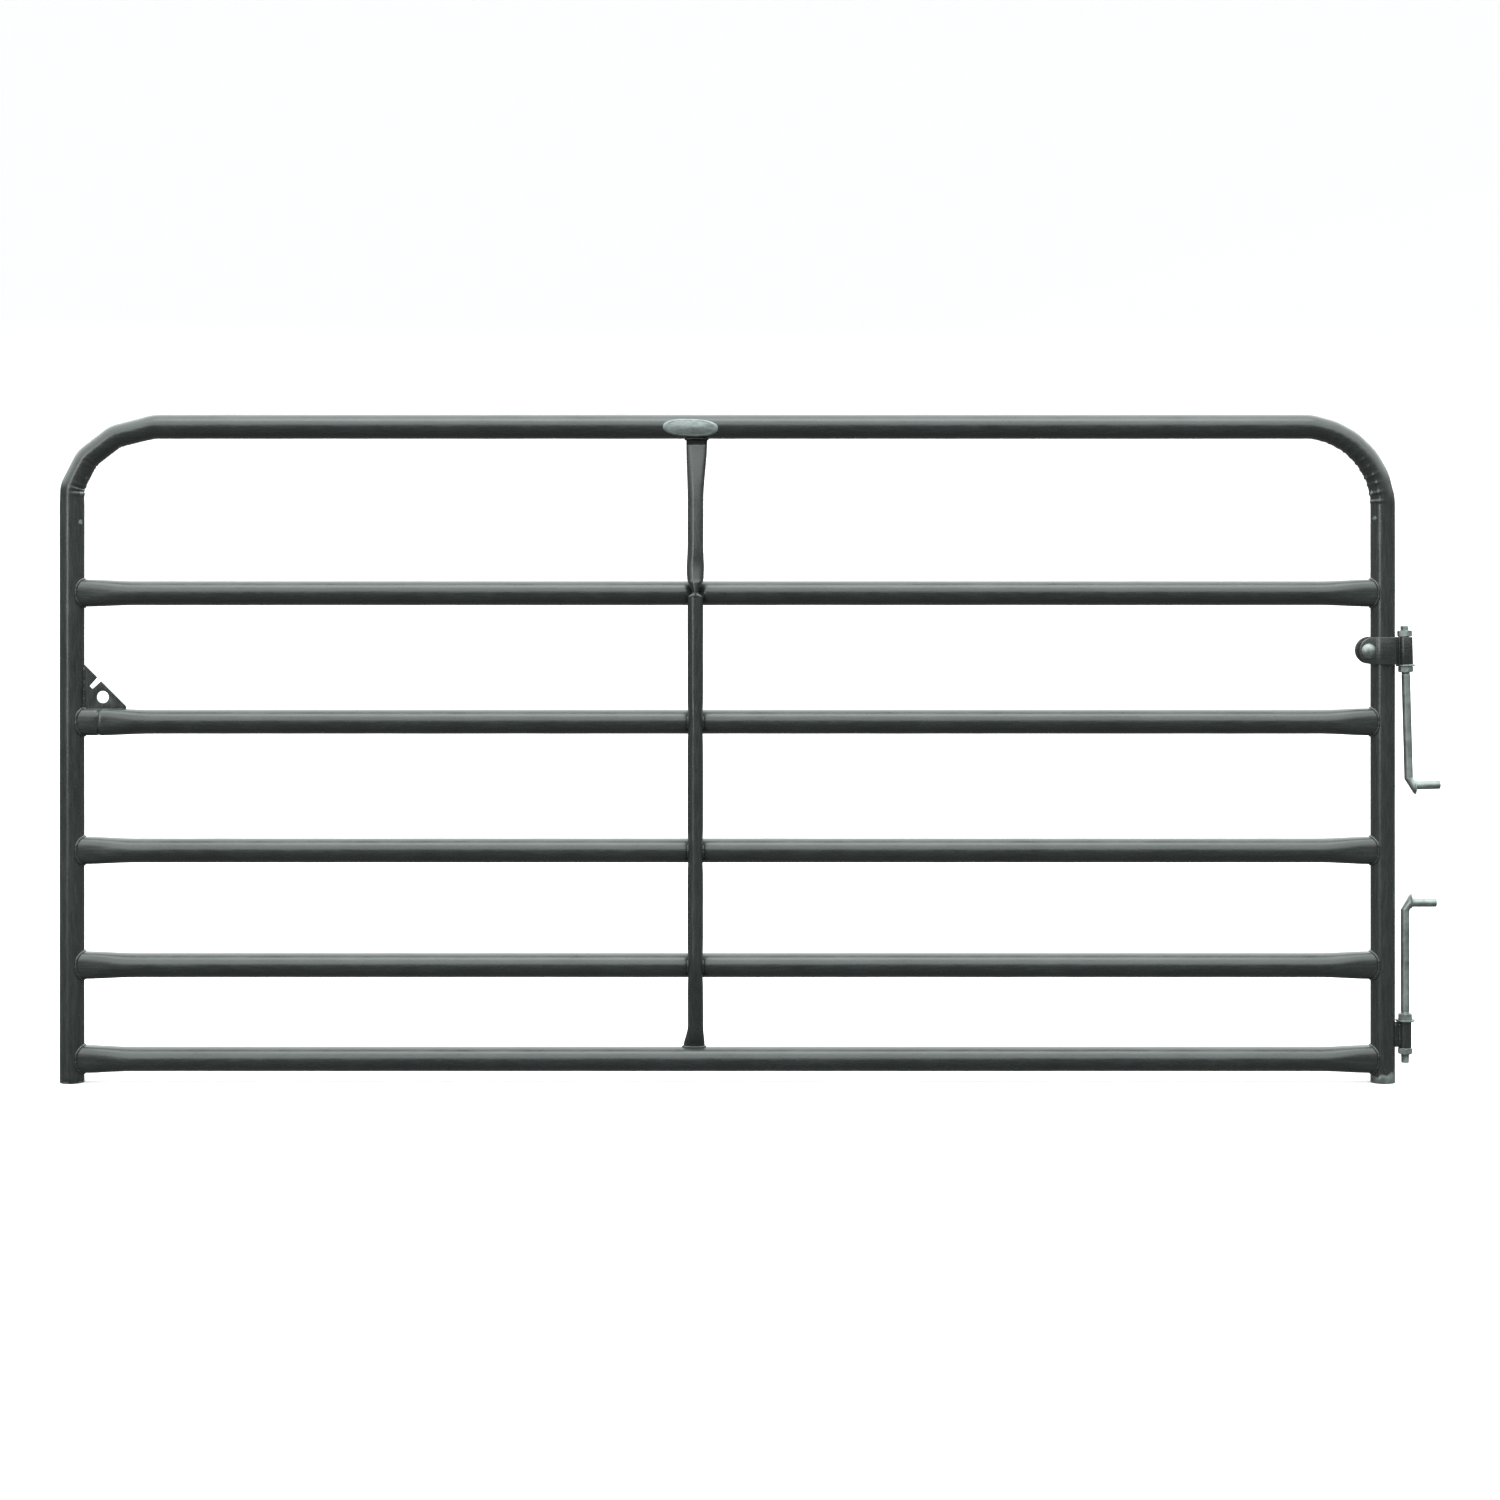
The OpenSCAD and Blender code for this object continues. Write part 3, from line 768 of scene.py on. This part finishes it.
def brace_stations():
    """Heights of the brace's rings: close at its ends and at the pinch."""
    second = RAIL_Z["second_rail"]
    stretches = (
        np.arange(BRACE_FOOT, BRACE_TOP, 6 * MM),
        np.arange(second - 40 * MM, second + 60 * MM, 1.5 * MM),
        np.arange(BRACE_FOOT, BRACE_FOOT + 40 * MM, 2.5 * MM),
        np.arange(BRACE_TOP - 80 * MM, BRACE_TOP, 3 * MM),
    )
    return sorted({round(z, 5) for stretch in stretches for z in stretch}) + [BRACE_TOP]


def brace_ring(z):
    left, right = brace_half_w(z, -1), brace_half_w(z, 1)
    mean = (left + right) / 2
    below, above = BRACE_TOP - z, z - BRACE_FOOT
    flat = ease(1 - below / (84 * MM)) + ease(1 - above / (44 * MM))
    half_t = math.sqrt(max(2 * BRACE_R**2 - mean**2, (4.2 * MM) ** 2))
    half_t = min(half_t, BRACE_R * 1.05)
    half_t -= 1.5 * MM * ease((12 * MM - below) / (2.5 * MM))
    at_top = ease(1 - below / (150 * MM))
    power = 1 + 0.25 * min(flat, 1)
    reach = 0.8 * MM * (ease(1 - below / (4 * MM)) - ease(1 - above / (4 * MM)))
    ring = []
    for a in circle(BRACE_AROUND):
        across, deep = math.cos(a), math.sin(a)
        w = right if across > 0 else left
        x = w * blunt(across, 1 / power)
        y = half_t * blunt(deep, power)
        spot = (BRACE_X + x, y, z)
        if y < 0:
            y -= 0.9 * MM * at_top * bump_at(x / w, 0.72, 0.16)
            y += 1.1 * MM * at_top * bump_at(x / w, 0.35, 0.28)
        grow = 1 + (wander(spot, 16.0, 0.18) + wander(spot, 70.0, 0.07)) * MM / BRACE_R
        depth_y = smooth_brace_y(z) + y * grow
        over = TUBE_R - math.sqrt(max(TUBE_R**2 - depth_y**2, 0.0))
        lift = over * ease(1 - below / (6 * MM)) - over * ease(1 - above / (6 * MM))
        ring.append((BRACE_X + x * grow, depth_y, z + lift + reach))
    return ring


def centre_brace():
    """The brace, flattened at both ends and shaped there to the tubes that it is welded to."""
    return loft([brace_ring(z) for z in brace_stations()])


def brace_welds():
    """Fillets round the brace's two flattened ends."""
    ends = ((BRACE_TOP, 1, 6.2 * MM, 2.2 * MM), (BRACE_FOOT, -1, 4.6 * MM, 2.4 * MM))
    parts = []
    for z, lift, half_t, radius in ends:
        loop = []
        for a in circle(90):
            w = brace_half_w(z, 1 if math.cos(a) > 0 else -1) + 0.6 * MM
            y = (half_t + 0.8 * MM) * math.sin(a)
            over = TUBE_R - math.sqrt(TUBE_R**2 - y * y)
            loop.append((BRACE_X + w * math.cos(a), y, z + lift * (over - 0.5 * MM)))
        parts.append(bead(loop, radius, closed=True, seed=7 + lift))
    return join_parts(parts)


# ------------------------ name plate

PLATE_TILT = math.radians(-2.0)
PLATE_DROP = 2.6 * MM
PLATE_HALF_H = 15.8 * MM
# Rings of the plate from its middle outwards: share of its size, and height above the tube in millimetres
PLATE_RINGS = (
    (0.05, 0.95), (0.45, 0.95), (0.78, 0.9), (0.83, 0.92), (0.86, 1.35), (0.93, 1.4),
    (0.96, 1.0), (0.99, 0.75), (1.0, 0.45), (1.0, 0.12), (0.6, 0.12), (0.05, 0.12),
)


def name_plate():
    """A blank oval with a raised rim, bent round the front of the top rail."""
    lo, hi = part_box("name_plate")
    centre = (lo + hi) / 2
    half_w = (hi.x - lo.x) / 2
    cos_tilt, sin_tilt = math.cos(PLATE_TILT), math.sin(PLATE_TILT)
    rings = []
    for share, lift in PLATE_RINGS:
        ring = []
        for a in circle(96):
            u = half_w * share * blunt(math.cos(a), 0.82)
            v = PLATE_HALF_H * share * blunt(math.sin(a), 0.82)
            x = u * cos_tilt - v * sin_tilt
            z = u * sin_tilt + v * cos_tilt - PLATE_DROP
            r = TUBE_R + lift * MM + (wander((u, v, 0.0), 90.0, 0.18 * MM) if lift > 0.5 else 0.0)
            ring.append((centre.x + x, -math.sqrt(max(r * r - z * z, 0.0)), TOP_Z + z))
        rings.append(ring)
    return loft(rings)


# ------------------------ latch plate

LATCH_LEG = 83 * MM
LATCH_TIP = 6.5 * MM
LATCH_T = 5 * MM
SLOT_DEPTH = 21 * MM
SLOT_HALF = 3.75 * MM
SLOT_MOUTH_HALF = 5 * MM
SLOT_X = 27.5 * MM
LATCH_HOLE_R = 11 * MM
EDGE_ROUND = 0.55 * MM


def latch_outline():
    """The plate's edge seen from the front, from its corner between the leg and the rail."""
    down = Vector((1, -1)).normalized()
    inward = Vector((-1, -1)).normalized()
    mouth = Vector((SLOT_X, LATCH_LEG - SLOT_X))
    under = -4 * MM
    return [
        Vector((under, under)),
        Vector((LATCH_LEG - LATCH_TIP, under)),
        Vector((LATCH_LEG - LATCH_TIP, LATCH_TIP)),
        mouth + SLOT_MOUTH_HALF * down,
        mouth + SLOT_DEPTH * inward + SLOT_HALF * down,
        mouth + SLOT_DEPTH * inward - SLOT_HALF * down,
        mouth - SLOT_MOUTH_HALF * down,
        Vector((0.0, LATCH_LEG)),
        Vector((under, LATCH_LEG)),
    ]


def plate_curve(outlines):
    """A flat filled curve with rounded edges."""
    curve = bpy.data.curves.new("latch_plate", "CURVE")
    curve.dimensions = "2D"
    curve.fill_mode = "BOTH"
    curve.extrude = LATCH_T / 2 - EDGE_ROUND
    curve.bevel_depth = EDGE_ROUND
    curve.bevel_resolution = 3
    curve.offset = -EDGE_ROUND
    for outline in outlines:
        spline = curve.splines.new("POLY")
        spline.points.add(len(outline) - 1)
        for point, place in zip(spline.points, outline):
            point.co = (place.x, place.y, 0.0, 1.0)
        spline.use_cyclic_u = True
    return curve


def latch_plate_mesh():
    corner = Vector((RAIL_START, RAIL_Z["third_rail"] + TUBE_R))
    at = mount_place("latch_hole")
    hole = [
        Vector((at.x - corner.x + LATCH_HOLE_R * math.cos(a), at.z - corner.y + LATCH_HOLE_R * math.sin(a)))
        for a in circle(64)
    ]
    mesh = modified(plate_curve([latch_outline(), hole]))
    mesh.transform(Matrix.Translation((corner.x, 0.0, corner.y)) @ Matrix.Rotation(math.pi / 2, 4, "X"))
    bm = bmesh.new()
    bm.from_mesh(mesh)
    bmesh.ops.remove_doubles(bm, verts=bm.verts, dist=1e-6)
    bm.to_mesh(mesh)
    bm.free()
    return mesh


def latch_welds():
    """Fillets along the latch plate's two joined sides, front and back, with a blob in the corner."""
    x, z = RAIL_START, RAIL_Z["third_rail"] + TUBE_R
    parts = []
    for side in (-1, 1):
        y = side * (LATCH_T / 2 + 0.3 * MM)
        along = straight((x + 4 * MM, y, z + 0.2 * MM), (x + LATCH_LEG - 9 * MM, y, z - 0.2 * MM))
        upright = straight((x - 0.2 * MM, y, z + 4 * MM), (x - 0.2 * MM, y, z + LATCH_LEG - 6 * MM))
        parts.append(bead(along, 2.7 * MM, seed=11))
        parts.append(bead(upright, 2.6 * MM, seed=12))
    blob = straight((x - 3 * MM, -6 * MM, z + 1 * MM), (x + 6 * MM, -6.5 * MM, z + 1.5 * MM))
    parts.append(bead(blob, 3.4 * MM, seed=13, ripple=5 * MM))
    return join_parts(parts)


# ------------------------ fasteners


def hex_nut(af, height, hole_r):
    """A hex nut standing on z = 0, chamfered on both faces."""
    flat, chamfer, edge = af / 2, 0.9 * MM, 0.25 * MM
    slope = math.tan(math.radians(28))
    angles = circle(72)
    corners = [flat / math.cos((a + math.pi / 6) % (math.pi / 3) - math.pi / 6) for a in angles]
    drops = [(corner - flat * 0.985) * slope for corner in corners]
    insets = [corner - edge for corner in corners]
    low = [max(drop - 0.05 * MM, 0.03 * MM) for drop in drops]

    def ring(radii, heights):
        return [(r * math.cos(a), r * math.sin(a), z) for a, r, z in zip(angles, radii, heights)]

    def level(radius, z):
        return ring([radius] * len(angles), [z] * len(angles))

    rings = [
        level(hole_r, chamfer),
        level(hole_r + chamfer, 0.0),
        level(flat * 0.975, 0.0),
        ring(insets, low),
        ring(corners, [drop + edge for drop in drops]),
        ring(corners, [height - drop - edge for drop in drops]),
        ring(insets, [height - z for z in low]),
        level(flat * 0.975, height),
        level(hole_r + chamfer, height),
        level(hole_r, height - chamfer),
    ]
    return loft(rings, closed=True)


def washer():
    """A stamped washer standing on z = 0."""
    hole, edge = EYE_R, 0.5 * MM
    profile = [
        (hole, edge),
        (hole + edge, 0.0),
        (WASHER_R - edge, 0.0),
        (WASHER_R, edge),
        (WASHER_R, WASHER_T - edge * 1.6),
        (WASHER_R - edge * 1.6, WASHER_T),
        (hole + edge, WASHER_T),
        (hole, WASHER_T - edge),
    ]
    return lathe(profile, around=64, closed=True)


def threaded_rod(radius, z_top, z_low, pitch, depth, chamfer):
    """A helical thread from z_low up to a chamfered end at z_top."""
    around = 36
    count = int((z_top - z_low) / (pitch / 8))
    rings = []
    for k in range(count + 1):
        z = z_low + (z_top - z_low) * k / count
        limit = radius - max(0.0, chamfer - (z_top - z))
        fade = ease((z - z_low) / (1.5 * pitch))
        ring = []
        for i, a in enumerate(circle(around)):
            phase = (z / pitch - i / around) % 1.0
            cut = min(1.0, max(0.0, 1.25 - abs(phase - 0.5) * 2.9))
            r = min(radius - depth * cut * fade, limit)
            ring.append((r * math.cos(a), r * math.sin(a), z))
        rings.append(ring)
    return loft(rings)


SHOULDER_R = 13.8 * MM
SHOULDER_X = 12 * MM
SHOULDER_DROP = 3 * MM
FORGING_AROUND = 40
AXIS_R = 0.2 * MM
# Side view of the heel, in mm from the pin's axis: its outer edge and its inner corner
HEEL_OUTER = ((-7.95, 18.0), (-7.95, 12.3), (8.0, -14.5), (11.2, -16.5))
HEEL_INNER = ((7.95, 18.0), (7.95, 14.5), (9.6, 11.0), (11.2, 10.4))


def heel(pin_z):
    """The slanting block that turns the shank into the pin, as deep as the shoulder where they meet."""
    rings = []
    for t in np.linspace(0, 3, 25):
        k = min(int(t), 2)
        outer = Vector(HEEL_OUTER[k]).lerp(Vector(HEEL_OUTER[k + 1]), t - k) * MM
        inner = Vector(HEEL_INNER[k]).lerp(Vector(HEEL_INNER[k + 1]), t - k) * MM
        centre, half = (outer + inner) / 2, (outer - inner) / 2
        deep = ROD_R + (SHOULDER_R * 0.93 - ROD_R) * ease((t - 0.8) / 2.2)
        ring = []
        for a in circle(FORGING_AROUND):
            x, z = centre + math.cos(a) * half
            ring.append((x, deep * math.sin(a), pin_z + z))
        rings.append(ring)
    return loft(rings)


def pin():
    root, end, tip = 7 * MM, HOOK_REACH, 1.2 * MM
    profile = [(AXIS_R, root), (ROD_R, root), (ROD_R, end - tip), (ROD_R - tip, end), (AXIS_R, end)]
    return lathe(profile, FORGING_AROUND)


def shoulder():
    back = SHOULDER_X - 2.2 * MM
    profile = [(AXIS_R, back), (SHOULDER_R - 0.5 * MM, back), (SHOULDER_R, back + 1.0 * MM)]
    profile += [(SHOULDER_R - 0.6 * MM, SHOULDER_X), (AXIS_R, SHOULDER_X)]
    return lathe(profile, FORGING_AROUND)


def forged_hook(z_thread, pin_z):
    """The smooth shank, slanting heel, thin shoulder and pin of a hook bolt, blended as one forging."""
    low = pin_z + 15 * MM
    shank = [(AXIS_R, low), (ROD_R, low), (ROD_R, z_thread), (AXIS_R, z_thread)]
    sideways = Matrix.Rotation(math.pi / 2, 4, "Y")
    parts = [
        lathe(shank, FORGING_AROUND),
        moved(pin(), Matrix.Translation((0, 0, pin_z)) @ sideways),
        heel(pin_z),
        moved(shoulder(), Matrix.Translation((0, 0, pin_z - SHOULDER_DROP)) @ sideways),
    ]
    mesh = mesh_of(join_parts(parts), "forging")
    face_outwards(mesh)
    remesh = ("REMESH", {"mode": "VOXEL", "voxel_size": 0.8 * MM})
    soften = ("SMOOTH", {"factor": 0.5, "iterations": 6})
    return modified(mesh, remesh, soften)


def mesh_part(mesh):
    return [tuple(v.co) for v in mesh.vertices], [tuple(p.vertices) for p in mesh.polygons]


def hook_bolt(name, body, matrix, stick, thread_low):
    pin_z = stick - HOOK_LEN + ROD_R
    smooth = mesh_part(forged_hook(thread_low + 0.6 * MM, pin_z))
    thread = threaded_rod(ROD_R, stick, thread_low, THREAD_PITCH, THREAD_DEPTH, 1.4 * MM)
    part = moved(join_parts([smooth, thread]), matrix)
    return add_piece(name, part, ZINC, body, (name,), sharp_deg=50)


def along_axis(node, matrix):
    """Lowest and highest place of a CAD node along a local Z axis."""
    inverse = matrix.inverted()
    heights = [(inverse @ v.co).z for v in frame["nodes"][node].data.vertices]
    return min(heights), max(heights)


def hook_set(prefix, body, matrix, outer_nut, inner_nut):
    """A hook bolt with its two nuts and its washer. Local +Z points to the threaded end."""

    def at_foot_of(node):
        return matrix @ Matrix.Translation((0, 0, along_axis(node, matrix)[0]))

    stick = along_axis(f"{prefix}_bolt", matrix)[1]
    inner_low = along_axis(inner_nut, matrix)[0]
    hook_bolt(f"{prefix}_bolt", body, matrix, stick, inner_low - 5 * MM)
    for node, angle in ((outer_nut, 0.06), (inner_nut, 0.15)):
        nut = hex_nut(NUT_AF, NUT_H, ROD_R + 0.15 * MM)
        place = at_foot_of(node) @ Matrix.Rotation(angle, 4, "Z")
        add_piece(node, moved(nut, place), ZINC, body, (node,))
    node = f"{prefix}_washer"
    add_piece(node, moved(washer(), at_foot_of(node)), ZINC, body, (node,))


# ------------------------ strap clamp


def arc(centre, radius, start, end, step_deg=4.0):
    count = max(int(abs(end - start) / math.radians(step_deg)), 3)
    angles = [start + (end - start) * k / count for k in range(count + 1)]
    return [(centre[0] + radius * math.cos(a), centre[1] + radius * math.sin(a)) for a in angles]


def strap_line(eye_x, ear_x, ear_y):
    """Centre line of the strap seen from above: ear, wrap, valley and eye, then back behind the leg."""
    wrap = TUBE_R + STRAP_CLEAR + STRAP_T / 2
    eye = EYE_R + STRAP_T / 2
    valley, root = 5 * MM, 5 * MM
    ear_line = ear_y - STRAP_T / 2
    root_y = ear_line + root
    root_x = -math.sqrt((wrap + root) ** 2 - root_y**2)
    valley_x = ((wrap + valley) ** 2 - (eye + valley) ** 2 + eye_x**2) / (2 * eye_x)
    valley_y = math.sqrt((wrap + valley) ** 2 - valley_x**2)
    half = []
    for k in range(14):
        d = STRAP_HALF_H * (1 - math.cos(math.pi / 2 * (k + 0.25) / 13.25))
        if ear_x + d < root_x - 1 * MM:
            half.append((ear_x + d, -ear_line))
    half.append((root_x - 0.5 * MM, -ear_line))
    root_turn = math.atan2(-root_y, root_x)
    half += arc((root_x, -root_y), root, math.pi / 2, root_turn + math.pi, 8)
    valley_turn = math.atan2(-valley_y, valley_x)
    half += arc((0, 0), wrap, root_turn, valley_turn)[1:]
    to_eye = math.atan2(-valley_y, valley_x - eye_x)
    half += arc((valley_x, -valley_y), valley, valley_turn + math.pi, to_eye + math.pi, 8)[1:]
    half += arc((eye_x, 0), eye, to_eye, 0.0)[1:]
    return half + [(x, -y) for x, y in reversed(half[:-1])]


def strap_section(half_h):
    """Rounded outline of the strap's cross-section: (across, up)."""
    corner = 0.9 * MM
    half_t = STRAP_T / 2
    section = []
    for across, up, start in ((1, 1, 0), (-1, 1, 90), (-1, -1, 180), (1, -1, 270)):
        for step in range(4):
            a = math.radians(start + 30 * step)
            px = across * (half_t - corner) + corner * math.cos(a)
            pz = up * (half_h - corner) + corner * math.sin(a)
            section.append((px, pz))
    return section


def hinge_strap():
    eye = joint_place("upper_hook_turn")
    ear_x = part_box("hinge_strap")[0].x
    line = strap_line(eye.x, ear_x, EAR_OUTER)
    rings = []
    for k, (x, y) in enumerate(line):
        before = Vector((*line[max(k - 1, 0)], 0.0))
        after = Vector((*line[min(k + 1, len(line) - 1)], 0.0))
        along = (after - before).normalized()
        side = Vector((along.y, -along.x, 0.0))
        half_h = STRAP_HALF_H
        to_round = half_h - (x - ear_x)
        if to_round > 0 and abs(y) > 15 * MM:
            half_h = math.sqrt(max(half_h**2 - to_round**2, (1.5 * MM) ** 2))
        lean = math.tan(EYE_LEAN) * ease((x - 18 * MM) / (eye.x - 18 * MM))
        ring = []
        for px, pz in strap_section(half_h):
            ring.append((x + px * side.x - pz * lean, y + px * side.y, eye.z + pz))
        rings.append(ring)
    return loft(rings)


CLAMP_HEAD_R = 13.25 * MM
CLAMP_HEAD_H = 6.4 * MM
CLAMP_ROD_R = 6.35 * MM
CLAMP_NUT_AF = 19 * MM
CLAMP_NUT_H = 11 * MM


def clamp_bolt_matrix():
    """Local +Z runs from the front ear's face to the back."""
    centre = middle("clamp_bolt")
    return Matrix.Translation((centre.x, -EAR_OUTER, centre.z)) @ Matrix.Rotation(-math.pi / 2, 4, "X")


def clamp_bolt():
    """A domed carriage bolt whose head stands at the front of the clamp."""
    head_r, head_h, rod = CLAMP_HEAD_R, CLAMP_HEAD_H, CLAMP_ROD_R
    ball = (head_r**2 + head_h**2) / (2 * head_h)
    profile = [(0.15 * MM, -head_h - 0.1 * MM)]
    for k in range(1, 17):
        r = head_r * k / 16
        profile.append((r, ball - head_h - math.sqrt(ball**2 - r * r)))
    profile += [(head_r, -0.15 * MM), (head_r - 0.5 * MM, 0.0)]
    profile += [(rod, 0.0), (rod, 12 * MM), (0.15 * MM, 12 * MM)]
    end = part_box("clamp_bolt")[1].y + EAR_OUTER
    thread = threaded_rod(rod, end, 11 * MM, 1.95 * MM, 0.9 * MM, 1.0 * MM)
    return moved(join_parts([lathe(profile, 64), thread]), clamp_bolt_matrix())


def clamp_nut():
    back_face = Matrix.Translation((0, 0, 2 * EAR_OUTER + NUT_GAP)) @ Matrix.Rotation(0.2, 4, "Z")
    nut = hex_nut(CLAMP_NUT_AF, CLAMP_NUT_H, CLAMP_ROD_R + 0.15 * MM)
    return moved(nut, clamp_bolt_matrix() @ back_face)


# ------------------------ hinge barrel


def hinge_barrel():
    """A short tube with rounded rims, in which the lower hook bolt turns."""
    lo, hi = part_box("hinge_barrel")
    radius, half, edge = (hi.y - lo.y) / 2, (hi.z - lo.z) / 2, 0.7 * MM
    profile = [
        (EYE_R, -half + edge),
        (EYE_R + edge, -half),
        (radius - edge, -half),
        (radius, -half + edge),
        (radius, half - edge),
        (radius - edge, half),
        (EYE_R + edge, half),
        (EYE_R, half - edge),
    ]
    return moved(lathe(profile, 56, closed=True), Matrix.Translation((lo + hi) / 2))


def barrel_welds():
    """Fillets down both sides of the tab, against the leg and against the barrel."""
    lo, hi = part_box("barrel_tab")
    barrel = middle("hinge_barrel")
    barrel_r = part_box("hinge_barrel")[1].y
    parts = []
    for side in (-1, 1):
        y = side * (hi.y + 0.4 * MM)
        leg_x = HINGE_X + math.sqrt(TUBE_R**2 - y * y) + 0.6 * MM
        far_x = barrel.x - math.sqrt(barrel_r**2 - y * y) - 0.6 * MM
        for x in (leg_x, far_x):
            parts.append(bead(straight((x, y, lo.z + 2 * MM), (x, y, hi.z - 2 * MM)), 2.5 * MM, seed=21))
    return join_parts(parts)


# ------------------------ the object

add_piece("frame_tube", frame_tube(), ENAMEL_FRAME, "gate", ("frame_tube",), 50)
for rail_name in RAILS:
    add_piece(rail_name, rail(rail_name), ENAMEL_X, "gate", (rail_name,), 50)
    add_piece(f"{rail_name}_welds", rail_welds(rail_name), ENAMEL_X, "gate", sharp_deg=80)
add_piece("centre_brace", centre_brace(), ENAMEL_BRACE, "gate", ("centre_brace",), 60)
add_piece("centre_brace_welds", brace_welds(), ENAMEL_X, "gate", sharp_deg=80)
add_piece("name_plate", name_plate(), PLATE, "gate", ("name_plate",), 50)
add_mesh("latch_plate", latch_plate_mesh(), ENAMEL_Z, "gate", ("latch_plate",), 40)
add_piece("latch_plate_welds", latch_welds(), ENAMEL_X, "gate", sharp_deg=80)
add_piece("hinge_barrel", hinge_barrel(), ENAMEL_Z, "gate", ("hinge_barrel",))
add_piece("barrel_tab_welds", barrel_welds(), ENAMEL_Z, "gate", sharp_deg=80)
frame["nodes"]["barrel_tab"].data.materials.clear()
frame["nodes"]["barrel_tab"].data.materials.append(ENAMEL_Z)

add_piece("hinge_strap", hinge_strap(), ENAMEL_X, "clamp", ("hinge_strap",), 45)
add_piece("clamp_bolt", clamp_bolt(), ZINC, "clamp", ("clamp_bolt",), 50)
add_piece("clamp_nut", clamp_nut(), ZINC, "clamp", ("clamp_nut",))

upper_at = Matrix.Translation(joint_place("upper_hook_turn")) @ Matrix.Rotation(-EYE_LEAN, 4, "Y")
lower_at = Matrix.Translation(joint_place("lower_hook_turn")) @ Matrix.Rotation(math.pi, 4, "X")
hook_set("upper_hook", "upper_hook", upper_at, "upper_hook_top_nut", "upper_hook_bottom_nut")
hook_set("lower_hook", "lower_hook", lower_at, "lower_hook_bottom_nut", "lower_hook_top_nut")

# ------------------------ floor, light and camera

FLOOR_R = 26.0
RISE_R = 4.0
WALL_H = 14.0


def make_floor():
    """A pale floor whose far rim curves up all round, like a studio sweep."""
    profile = [(0.01, 0.0), (4.0, 0.0), (12.0, 0.0), (FLOOR_R, 0.0)]
    for k in range(1, 13):
        a = math.pi / 2 * k / 12
        profile.append((FLOOR_R + RISE_R * math.sin(a), RISE_R * (1 - math.cos(a))))
    profile.append((FLOOR_R + RISE_R, WALL_H))
    around = 96
    points = [(r * math.cos(a), r * math.sin(a), z) for r, z in profile for a in circle(around)]
    faces = [tuple(range(around))]
    for low in range(0, len(points) - around, around):
        for i in range(around):
            j = (i + 1) % around
            faces.append((low + i, low + j, low + around + j, low + around + i))
    mesh = mesh_of((points, faces), "floor")
    mesh.polygons.foreach_set("use_smooth", [True] * len(mesh.polygons))
    floor = bpy.data.objects.new("floor", mesh)
    bpy.context.scene.collection.objects.link(floor)
    material = bpy.data.materials.new("pale_floor")
    material.use_nodes = True
    shader = material.node_tree.nodes["Principled BSDF"]
    shader.inputs["Base Color"].default_value = (0.97, 0.91, 0.93, 1.0)
    shader.inputs["Roughness"].default_value = 1.0
    shader.inputs["Specular IOR Level"].default_value = 0.0
    mesh.materials.append(material)
    # The floor throws no light back and hides none of the sky, so the undersides stay dark
    floor.visible_diffuse = False
    floor.visible_glossy = False


def make_world():
    """A bright, even sky over a dark horizon, as a large soft dome."""
    world = bpy.data.worlds.new("dome")
    bpy.context.scene.world = world
    world.use_nodes = True
    tree = world.node_tree
    background = tree.nodes["Background"]
    place = tree.nodes.new("ShaderNodeTexCoord")
    split = tree.nodes.new("ShaderNodeSeparateXYZ")
    level = tree.nodes.new("ShaderNodeMapRange")
    blend = tree.nodes.new("ShaderNodeMix")
    blend.data_type = "RGBA"
    level.inputs["From Min"].default_value = 0.15
    level.inputs["From Max"].default_value = 0.35
    blend.inputs[6].default_value = (0.22, 0.235, 0.23, 1.0)
    blend.inputs[7].default_value = (2.5, 2.7, 2.65, 1.0)
    tree.links.new(place.outputs["Generated"], split.inputs[0])
    tree.links.new(split.outputs["Z"], level.inputs["Value"])
    tree.links.new(level.outputs["Result"], blend.inputs["Factor"])
    tree.links.new(blend.outputs[2], background.inputs["Color"])


def area_light(name, place, aim, width, height, energy):
    light = bpy.data.lights.new(name, "AREA")
    light.shape = "RECTANGLE"
    light.size = width
    light.size_y = height
    light.energy = energy
    lamp = bpy.data.objects.new(name, light)
    lamp.location = place
    lamp.rotation_euler = (Vector(aim) - Vector(place)).to_track_quat("-Z", "Y").to_euler()
    bpy.context.scene.collection.objects.link(lamp)


def make_camera():
    """Level camera in front of the gate, above its middle and shifted down to frame it."""
    distance, shift = 5.0, 0.12
    camera = bpy.data.cameras.new("camera")
    camera.sensor_width = 36
    camera.lens = 65.7
    frame_width = camera.sensor_width / camera.lens * distance
    aim_x, aim_z = -1.1555, 0.6064
    camera.shift_y = -shift
    eye = bpy.data.objects.new("camera", camera)
    eye.location = (aim_x, -distance, aim_z + shift * frame_width)
    eye.rotation_euler = (math.pi / 2, 0, 0)
    bpy.context.scene.collection.objects.link(eye)
    bpy.context.scene.camera = eye


make_floor()
make_world()
area_light("softbox", (-1.2, -1.4, 4.4), (-1.2, 0.0, 0.6), 4.0, 1.6, 60)
# A tall narrow light, which draws the pale stripe down the front of the legs
area_light("strip", (-8.1, -9.8, 2.4), (-1.2, 0.0, 0.6), 1.5, 5.0, 190)
make_camera()
bpy.context.scene.view_settings.view_transform = "Standard"
